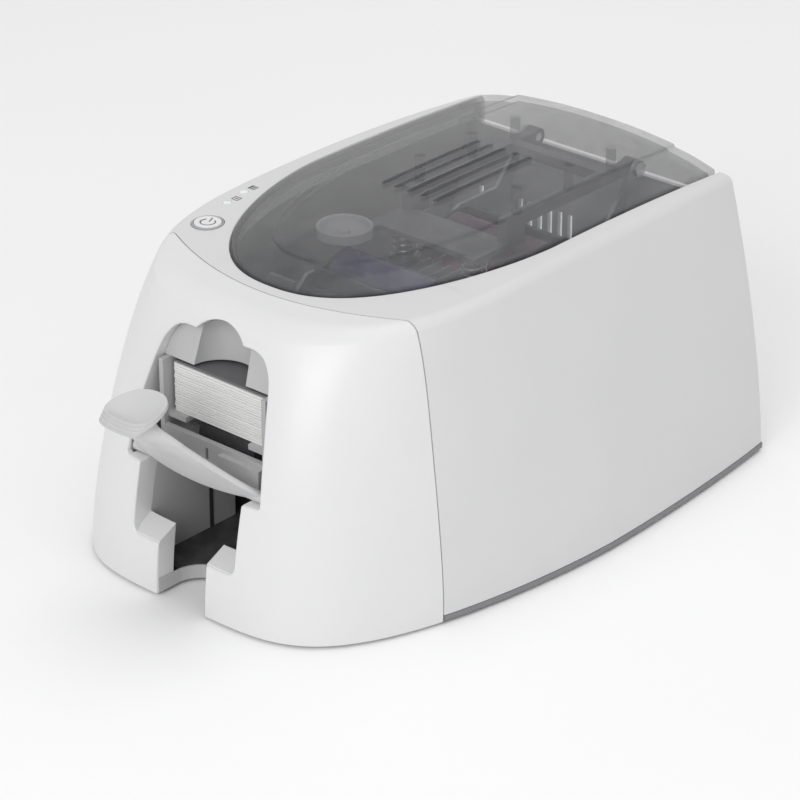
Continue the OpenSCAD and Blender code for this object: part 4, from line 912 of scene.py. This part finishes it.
# Lintel behind the arch: leaning panels either side of a conical finger scoop
hood = {"low": 97.22, "high": 121.0, "front": -132.9, "back": -107.5, "lean": 0.31, "scoop": (14.8, 13.4),
        "inset": 0.12}


def hoodY(z):
    return hood["front"] + hood["lean"] * (z - hood["low"])


hoodBlock = prism("feederHood", [(hood["front"], hood["low"]), (hoodY(hood["high"]), hood["high"]),
                                 (hood["back"], hood["high"]), (hood["back"], hood["low"])], -45, 45, sideways)
mouthTool = prism("mouth", grown(openingOutline(), -hood["inset"]), -200, -90, upright)
scoopRings = []
for z in np.linspace(hood["low"] - 1, hood["high"] + 1, 12):
    k = (z - hood["low"]) / (hood["high"] - hood["low"])
    scoopRings.append([(x, y, z) for x, y in circle((0.0, hoodY(z)), mix(*hood["scoop"], k), 96)])
feederHood = carve(hoodBlock, ("keep", mouthTool), ("cut", ringLoft("scoop", scoopRings)))
shadeByAngle(feederHood, 30.0)
place(feederHood, "chassis", "hood", finish["hood"], ("feeder_hood",))
print("seam and lintel made")


def lidRings(inset, drop=0.0):
    # rim, rounded edge, sloped band, a small step and the dome
    rear = inset
    rings = [lidRing(1.0, -inset, -5.0 - drop, rear), lidRing(1.0, -inset, 0.2 - inset, rear)]
    for a in np.linspace(15, 75, 4):
        turn = math.radians(a)
        rings.append(lidRing(1.0, -inset - 0.8 * (1 - math.cos(turn)), 0.2 - inset + 1.3 * math.sin(turn), rear))
    band = smoothPath([(0.985, 1.62), (0.82, 4.5), (0.672, 6.2)], 6)
    shares = [(k, z) for k, z in band] + [(0.669, 6.28), (0.6675, 6.6), (0.666, 7.0), (0.6645, 7.28), (0.660, 7.42)]
    shares += [(0.652 - 0.622 * s, 7.5 + 2.63 * (1 - (1 - s) ** 2)) for s in np.linspace(0.02, 1, 14)]
    for k, z in shares:
        rings.append(lidRing(k, -inset, z - inset, rear))
    return rings


def lidForm(name, inset, drop=0.0):
    return mirroredLoft(name, lidRings(inset, drop))


def capsule(name, x, y0, y1, radius, low, high):
    outline = arc(x, y1, radius, 0, 180, 10) + arc(x, y0, radius, 180, 360, 10)
    return prism(name, outline, low, high)


lidShell = carve(lidForm("lidShell", 0.0), ("cut", lidForm("hollow", lid["wall"], 5.0)))
apron = slab("apron", (-lid["halfWidth"] + 0.6, lid["halfWidth"] - 0.6), (lid["rear"] - 2, lid["rear"]),
             (topZ(lid["rear"]) - 9, topZ(lid["rear"]) - 4))
arms = {"x": (25.0, 30.6), "bossY": (24.0, 60.0, 90.0), "top": 126.88}
lidPosts = []
for side in (1, -1):
    for y in arms["bossY"]:
        post = cylinder("post", (side * sum(arms["x"]) / 2, y), arms["top"], 152.0, 2.2, 2.8, 24)
        lidPosts.append(carve(post, ("keep", lidForm("under", 0.3))))
slots = []
for k in range(lid["slotCount"]):
    x = (k - (lid["slotCount"] - 1) / 2) * lid["slotPitch"]
    slots.append(capsule("vent", x, lid["slotY"][0], lid["slotY"][1], lid["slotRadius"], 110, 160))
lidShell = carve(lidShell, ("join", apron), *[("join", post) for post in lidPosts],
                 *[("cut", slot) for slot in slots])
shadeBySkins(lidShell, [SmoothSkin(lidRings(0.0), 1.0), SmoothSkin(lidRings(lid["wall"]), -1.0)],
             0.06, 40.0)
place(lidShell, "lid", "lid", finish["lid"], ("lid_shell",))
print("lid:", len(lidShell.data.polygons), "faces")

flap = {
    "pivotY": -145.596, "pivotZ": 57.7, "lean": 129.9, "half": 37.4, "neck": 13.0, "start": -0.2,
    "neckFrom": 38.0, "neckPull": (14.0, 9.0), "thick": 2.6, "bow": 160.0, "bowHeight": 4.9,
    "pin": 1.6, "rod": 2.5, "pinTo": 41.5, "dishHalf": 12.6, "fadeFrom": 4.0, "fadeOver": 11.0,
    "bulge": 8.2, "bulgeFrom": 16.0, "bulgeTo": 50.0,
    "dish": (-181.55, 100.6), "dishTilt": 10.0, "rim": 0.9, "depth": 3.2,
    "outline": [(0.0, 13.7), (4.2, 13.0), (7.6, 11.1), (10.1, 8.2), (11.7, 4.6), (12.6, 1.0), (12.6, -2.8),
                (11.4, -6.2), (8.8, -8.4), (4.8, -9.3), (0.0, -9.5)],
    "steps": 3, "stepDown": 1.15, "stepOut": 1.15, "stepSide": 0.12, "sideShare": 0.4,
}


def tongueHalf(s):
    t = min(max((s - flap["start"]) / 53.7, 0.0), 1.0)
    return flap["neck"] + (flap["half"] - flap["neck"]) * (1 - t) ** 1.42 + 1.2 * math.sin(math.pi * t ** 3)


def tongueFace(x, s):
    # outward bow, and the spoon-like belly that grows towards the dish
    k = min(max((s - flap["bulgeFrom"]) / (flap["bulgeTo"] - flap["bulgeFrom"]), 0.0), 1.1)
    belly = flap["bulge"] * k * k * (1 - 0.25 * k) * (1 - min(abs(x) / tongueHalf(s), 1.0) ** 2)
    return flap["bowHeight"] - flap["bow"] + math.sqrt(flap["bow"] ** 2 - x * x) + belly


def tonguePlace(x, s, n):
    lean = math.radians(flap["lean"])
    return (x, flap["pivotY"] + s * math.cos(lean) - n * math.sin(lean),
            flap["pivotZ"] + s * math.sin(lean) + n * math.cos(lean))


def tongueRing(s, across=24, edge=12):
    # section of the tongue: inner face, rounded edge, outer face, and the same mirrored
    half, t = tongueHalf(s), flap["thick"]
    r = t / 2
    xs = [(half - r) * k / across for k in range(across)]
    right = [(x, tongueFace(x, s) - t) for x in xs]
    middle = tongueFace(half - r, s) - r
    right += [(half - r + r * math.cos(a), middle + r * math.sin(a))
              for a in np.linspace(-math.pi / 2, math.pi / 2, edge + 1)]
    right += [(x, tongueFace(x, s)) for x in reversed(xs)]
    ring = right + [(-x, n) for x, n in reversed(right[1:-1])]
    return [tonguePlace(x, s, n) for x, n in ring]


def dishPlace(x, y, n):
    tilt = math.radians(flap["dishTilt"])
    return (x, flap["dish"][0] + y * math.cos(tilt) - n * math.sin(tilt),
            flap["dish"][1] + y * math.sin(tilt) + n * math.cos(tilt))


dishHalf = smoothPath(flap["outline"], 6)
dishLoop = dishHalf + [(-x, y) for x, y in reversed(dishHalf[1:-1])]


def dishShare(y):
    # how far a place of the rim lies to the front, and how much of the lip's depth it has
    ahead = min(max((flap["fadeFrom"] - y) / flap["fadeOver"], 0.0), 1.0)
    return ahead, mix(flap["sideShare"], 1.0, ahead ** 1.5)


def dishRing(scale, n, step=0.0, drop=0.0):
    # scaled rim outline; steps grow it to the front, and its depth fades towards the back
    ring = []
    for x, y in dishLoop:
        ahead, share = dishShare(y)
        if n >= 0 or not step:
            share = 1.0
        grow = 1 + step * flap["stepSide"] / 13.0
        ring.append(dishPlace(x * scale * grow, y * scale - step * flap["stepOut"] * ahead ** 1.5, n * share - drop))
    return ring


def underRing():
    # foot of the dish, drawn in at the back and the sides, where the tongue takes over
    low = -flap["stepDown"] * flap["steps"]
    ring = []
    for x, y in dishLoop:
        ahead, share = dishShare(y)
        ring.append(dishPlace(x * mix(0.74, 0.98, ahead), mix(y * 0.35, y, ahead) - 3.0 * ahead ** 1.5,
                              low * share - mix(2.9, 1.0, ahead)))
    return ring


def flapRings():
    # one loft: tongue, spoon-like neck, ridged lip, rim and hollow
    f = flap
    rings = [tongueRing(s) for s in np.linspace(f["start"], f["neckFrom"], 24)]
    low, high = rings[-1], underRing()
    lean = math.radians(f["lean"])
    along = Vector((0, math.cos(lean), math.sin(lean))) * f["neckPull"][0]
    for t in np.linspace(0, 1, 13)[1:]:
        a, b, c, d = 2 * t ** 3 - 3 * t * t + 1, t ** 3 - 2 * t * t + t, 3 * t * t - 2 * t ** 3, t ** 3 - t * t
        ring = []
        for p, q, (x, y) in zip(low, high, dishLoop):
            out = Vector((x / 13 * 0.35, min(y, 0.0) / 9 * 0.9, 0.7)) * f["neckPull"][1]
            ring.append(tuple(Vector(p) * a + along * b + Vector(q) * c + out * d))
        rings.append(ring)
    for k in range(f["steps"] - 1, -1, -1):
        depth = -f["stepDown"] * (k + 1)
        for drop, out in ((-0.12, 1.0), (0.0, 0.8), (0.08, 0.12), (0.3, 0.01)):
            rings.append(dishRing(1.0, depth + drop, k + out))
    inner = 1 - f["rim"] / f["dishHalf"]
    rings += [dishRing(1.0, 0.0), dishRing(0.985, 0.1), dishRing(0.97, 0.12), dishRing(inner + 0.02, 0.1)]
    rings += [dishRing(inner * s, -f["depth"] * (1 - s ** 2.2)) for s in np.linspace(1.0, 0.04, 14)]
    return rings


def rodAcross(name, half, radius):
    return prism(name, circle((flap["pivotY"], flap["pivotZ"]), radius, 28), -half, half, sideways)


feederFlap = carve(ringLoft("feederFlap", flapRings()), ("join", rodAcross("rod", flap["half"] + 0.25, flap["rod"])),
                   ("join", rodAcross("pins", flap["pinTo"], flap["pin"])))
shadeByAngle(feederFlap, 38.0)
place(feederFlap, "flap", "flap", finish["flap"], ("feeder_flap",))
print("flap:", len(feederFlap.data.polygons), "faces")

cards = {"half": 27.0, "front": -133.51, "length": 85.6, "thick": 0.96, "pitch": 1.18, "count": 19, "path": 72.6,
         "corner": 1.4, "bevel": 0.1, "shadePlate": (95.1, 95.95)}


def cardOutline(inset, shiftX, shiftY):
    half, r = cards["half"] - inset, cards["corner"] - inset
    y0, y1 = cards["front"] + inset, cards["front"] + cards["length"] - inset
    out = arc(half - r, y1 - r, r, 0, 90, 7) + arc(-half + r, y1 - r, r, 90, 180, 7)
    out += arc(-half + r, y0 + r, r, 180, 270, 7) + arc(half - r, y0 + r, r, 270, 360, 7)
    return [(x + shiftX, y + shiftY) for x, y in out]


stack = []
for k in range(cards["count"]):
    low = cards["path"] + k * cards["pitch"]
    high = low + cards["thick"]
    dx, dy = 0.12 * math.sin(k * 2.3), 0.14 + 0.13 * math.sin(k * 1.7 + 1)
    rings = []
    bevel = cards["bevel"]
    for inset, z in ((bevel, low), (0, low + bevel), (0, high - bevel), (bevel, high)):
        rings.append([(x, y, z) for x, y in cardOutline(inset, dx, dy)])
    stack.append(ringLoft("card", rings))
cardStack = joined("cardStack", stack)
place(cardStack, "chassis", "card", finish["card"], ("card_stack",))
# Dark plate laid on the top card: painted shade, it darkens the top of the stack, which lies in shadow inside the
# hopper
low, high = cards["shadePlate"]
shadePlate = ringLoft("cardShadePlate", [[(x, y, z) for x, y in cardOutline(inset, 0.0, 0.5)]
                                     for inset, z in ((0.7, low), (0.4, low + 0.3), (0.4, high - 0.3), (0.7, high))])
shadeByAngle(shadePlate, 30.0)
place(shadePlate, "chassis", "dark", finish["shadePlate"])

springs = {"head": {"at": ((-20.0, 5.0), (20.0, 5.0)), "radius": 5.2, "wire": 0.8, "turns": 4, "z": (99.65, 113.55)},
           "button": {"at": ((-61.5, -76.0),), "radius": 3.4, "wire": 0.3, "turns": 3, "z": (122.235, 126.235)}}


def coil(name, centre, spec, perTurn=28, sides=8):
    count = spec["turns"] * perTurn
    low, high = spec["z"][0] + spec["wire"], spec["z"][1] - spec["wire"]
    rings = []
    for k in range(count + 1):
        a = 2 * math.pi * k / perTurn
        ring = []
        for j in range(sides):
            b = 2 * math.pi * j / sides
            r = spec["radius"] + spec["wire"] * math.cos(b)
            ring.append((centre[0] + r * math.cos(a), centre[1] + r * math.sin(a),
                         low + (high - low) * k / count + spec["wire"] * math.sin(b)))
        rings.append(ring)
    return ringLoft(name, rings)


headSprings = joined("headSprings", [coil("coil", p, springs["head"]) for p in springs["head"]["at"]])
shadeByAngle(headSprings, 60.0)
place(headSprings, "lid", "steel", finish["steel"], ("head_springs",))
buttonSpring = coil("buttonSpring", springs["button"]["at"][0], springs["button"])
shadeByAngle(buttonSpring, 60.0)
place(buttonSpring, "chassis", "steel", finish["steel"], ("button_spring",))


# Button cap with a dished top and a pocket underneath for its spring; axis is a radius just off the axis
panel = {"buttonTop": 129.835, "buttonR": 6.15, "dish": 0.7, "dishTo": 0.84, "edge": 0.7, "pocketR": 4.3,
         "pocketRoof": 1.7, "skirt": 3.6, "axis": 0.02, "collarR": 7.2, "collarBore": 6.3, "collarFoot": 120.835,
         "collarFloor": 122.235, "ledR": 2.1, "wall": 2.5}
buttonX, buttonY = controls["button"]
capTop, capR = panel["buttonTop"] + 0.2, panel["buttonR"]


def dishZ(s):
    # height of the dished cap at a share of its radius
    return capTop - panel["dish"] * (1 - (s / panel["dishTo"]) ** 2)


roof, skirt = capTop - panel["pocketRoof"], capTop - panel["skirt"]
profile = [(panel["axis"], roof), (panel["pocketR"], roof), (panel["pocketR"], skirt), (capR, skirt)]
profile += [(capR, capTop - panel["edge"])]
profile += [(capR - panel["edge"] + u, capTop - panel["edge"] + v) for u, v in arc(0, 0, panel["edge"], 20, 80, 3)]
profile += [(capR * s, dishZ(s)) for s in (panel["dishTo"], 0.7, 0.55, 0.4, 0.25, 0.1, 0.02)]
powerButton = turned("powerButton", (buttonX, buttonY), profile)
shadeByAngle(powerButton, 35.0)
place(powerButton, "button", "cover", finish["button"], ("power_button",))

# Adjuster cup under the lid
cup = {"at": (-29.5, -24.0), "radius": 12.6, "low": 115.6, "high": 120.6, "floor": 117.2, "wall": 1.5}
outer, inner, top, floorZ = cup["radius"], cup["radius"] - cup["wall"], cup["high"], cup["floor"]
adjusterCup = turned("adjusterCup", cup["at"], [
    (panel["axis"], cup["low"]), (outer - 0.5, cup["low"]), (outer, cup["low"] + 0.5), (outer, top - 0.4),
    (outer - 0.4, top), (inner + 0.4, top), (inner, top - 0.4), (inner - 0.4, floorZ + 0.5), (inner - 1.2, floorZ),
    (2.6, floorZ), (2.4, floorZ + 1.2), (2.0, floorZ + 1.4), (panel["axis"], floorZ + 1.4)], 72)
shadeByAngle(adjusterCup, 35.0)
place(adjusterCup, "lid", "lid", finish["cup"], ("adjuster_cup",))


def ribbonMark(name, path, width, height=0.06, sink=0.05):
    # thin printed stroke laid on the dish of the cap
    rings = []
    for k, (x, y) in enumerate(path):
        a = Vector(path[max(k - 1, 0)])
        b = Vector(path[min(k + 1, len(path) - 1)])
        across = Vector((-(b - a).y, (b - a).x)).normalized() * width / 2
        z = dishZ(min(math.hypot(x, y) / capR, panel["dishTo"]))
        corners = ((1, -sink), (-1, -sink), (-1, height), (1, height))
        rings.append([(buttonX + x + side * across.x, buttonY + y + side * across.y, z + rise)
                      for side, rise in corners])
    return ringLoft(name, rings)


turnBy = math.radians(15)
ringPath = [(3.3 * math.cos(math.radians(a) + turnBy), 3.3 * math.sin(math.radians(a) + turnBy))
            for a in np.linspace(90 + 38, 90 + 322, 40)]
barPath = [(-s * math.sin(turnBy), s * math.cos(turnBy)) for s in (1.1, 1.8, 2.6, 3.4, 4.2)]
buttonMark = joined("buttonMark", [ribbonMark("ring", ringPath, 0.6), ribbonMark("bar", barPath, 0.6)])
place(buttonMark, "button", "dark", finish["mark"])

collarTop = panel["buttonTop"] - 0.2
outer, bore, foot, base = (panel[key] for key in ("collarR", "collarBore", "collarFoot", "collarFloor"))
profile = [(panel["axis"], foot), (outer, foot), (outer, collarTop - 0.5), (outer - 0.12, collarTop - 0.15),
           (outer - 0.35, collarTop), (bore + 0.25, collarTop), (bore + 0.08, collarTop - 0.15),
           (bore, collarTop - 0.4), (bore, base), (panel["axis"], base)]
collar = turned("buttonCollar", (buttonX, buttonY), profile)
shadeByAngle(collar, 35.0)
place(collar, "chassis", "hood", finish["collar"], ("button_guide",))

lenses = []
for x, y in controls["leds"]:
    z, rl = topZ(y), panel["ledR"]
    dome = [(rl, z - panel["wall"]), (rl, z)] + [(rl * math.cos(math.radians(a)), z + 0.3 * math.sin(math.radians(a)))
                                                for a in (20, 40, 60, 80, 89)]
    lenses.append(turned("lens", (x, y), dome, 40))
indicators = joined("indicatorLenses", lenses)
shadeByAngle(indicators, 35.0)
place(indicators, "chassis", "window", finish["window"], ("indicator_windows",))


def patch(name, outline, cx, cy, height=0.035, sink=0.05):
    # small printed shape on the sloping top face
    return prism(name, outline, -sink, height, lambda u, v, w: (cx + u, cy + v, topZ(cy + v) + w))


marks = []
for cx, cy, bars in ((-68.6, -50.6, ((-1.9, 1.9, 1.0, 1.5), (-1.9, -1.4, -1.3, 0.9), (1.4, 1.9, -1.3, 0.9),
                                     (-1.9, 1.9, -1.9, -1.4), (-0.9, 0.9, -0.5, 0.2))),
                     (-70.6, -38.2, ((-1.9, -0.6, -1.8, 1.8), (-0.2, 0.5, -1.8, 1.8), (0.9, 1.3, -1.8, 1.8),
                                     (1.6, 1.9, -1.8, 1.8)))):
    for x0, x1, y0, y1 in bars:
        marks.append(patch("bar", [(x0, y0), (x1, y0), (x1, y1), (x0, y1)], cx, cy))
indicatorMarks = joined("indicatorMarks", marks)
place(indicatorMarks, "chassis", "dark", finish["mark"])
print("controls made")


studio = {"white": 1.0, "ambient": 0.62, "floor": 0.96, "floorSize": 6.0}
cameraFit = {"turn": 41.4708056, "tilt": 26.6855324, "scale": 2.21410991, "perspective": 6.67978783e-4,
             "centre": (430.560672, 470.926021), "frame": 800.0, "sensor": 36.0}


def makeWorld():
    world = bpy.data.worlds.new("Studio")
    bpy.context.scene.world = world
    world.use_nodes = True
    world.node_tree.nodes.clear()
    t = Tree(world.node_tree)
    rays = t.node("LightPath").outputs
    bounced = t.math("MAXIMUM", rays["Is Glossy Ray"], rays["Is Transmission Ray"])
    seen = t.math("MAXIMUM", rays["Is Camera Ray"], bounced)
    soft = t.node("Background", {"Color": (1, 1, 1, 1), "Strength": studio["ambient"]})
    white = t.node("Background", {"Color": (1, 1, 1, 1), "Strength": studio["white"]})
    mixed = t.node("MixShader", {0: seen, 1: soft.outputs[0], 2: white.outputs[0]})
    t.node("OutputWorld", {"Surface": mixed.outputs[0]})


def areaLight(name, where, size, power, target=(0.0, 0.0, 0.06)):
    data = bpy.data.lights.new(name, "AREA")
    data.shape = "RECTANGLE"
    data.size, data.size_y = size
    data.energy = power
    obj = bpy.data.objects.new(name, data)
    obj.location = where
    obj.rotation_mode = "QUATERNION"
    obj.rotation_quaternion = (Vector(target) - Vector(where)).to_track_quat("-Z", "Y")
    bpy.context.scene.collection.objects.link(obj)


def makeFloor():
    work = bmesh.new()
    bmesh.ops.create_grid(work, x_segments=8, y_segments=8, size=studio["floorSize"] / 2)
    mesh = bpy.data.meshes.new("floor")
    work.to_mesh(mesh)
    work.free()
    floor = bpy.data.objects.new("floor", mesh)
    bpy.context.scene.collection.objects.link(floor)
    m, t, shader = startMaterial("Floor paint")
    light, dark = ((*[studio["floor"] * share] * 3, 1) for share in (1.0, 0.985))
    tone = t.blend(t.spread(t.noise(t.where(), 3.0, 2.0), 0.3, 0.7), light, dark)
    t.wire(shader, {"Base Color": tone, "Roughness": 0.9, "Specular IOR Level": 0.1})
    mesh.materials.append(m)


def makeCamera():
    c = cameraFit
    a, e = math.radians(c["turn"]), math.radians(c["tilt"])
    right = Vector((math.cos(a), math.sin(a), 0))
    up = Vector((-math.sin(a) * math.sin(e), math.cos(a) * math.sin(e), math.cos(e)))
    ahead = Vector((-math.sin(a) * math.cos(e), math.cos(a) * math.cos(e), -math.sin(e)))
    half = c["frame"] / 2
    where = -right * (c["centre"][0] - half) / c["scale"] + up * (c["centre"][1] - half) / c["scale"]
    where -= ahead / c["perspective"]
    data = bpy.data.cameras.new("Camera")
    data.sensor_width = c["sensor"]
    data.lens = c["scale"] / c["perspective"] / c["frame"] * c["sensor"]
    data.clip_start, data.clip_end = 0.05, 30.0
    obj = bpy.data.objects.new("Camera", data)
    bpy.context.scene.collection.objects.link(obj)
    turn = Matrix((right, up, -ahead)).transposed().to_4x4()
    obj.matrix_world = Matrix.Translation(toFrame @ where) @ turn
    bpy.context.scene.camera = obj


bpy.context.scene.view_settings.view_transform = "Standard"
makeWorld()
makeFloor()
makeCamera()
areaLight("Key", (0.55, -1.75, 1.05), (1.2, 1.2), 16.0)
areaLight("Fill", (1.5, 0.1, 1.0), (1.4, 1.2), 2.0)
areaLight("Top", (0.1, 0.4, 1.9), (1.6, 1.6), 8.0)
print("light and camera set")
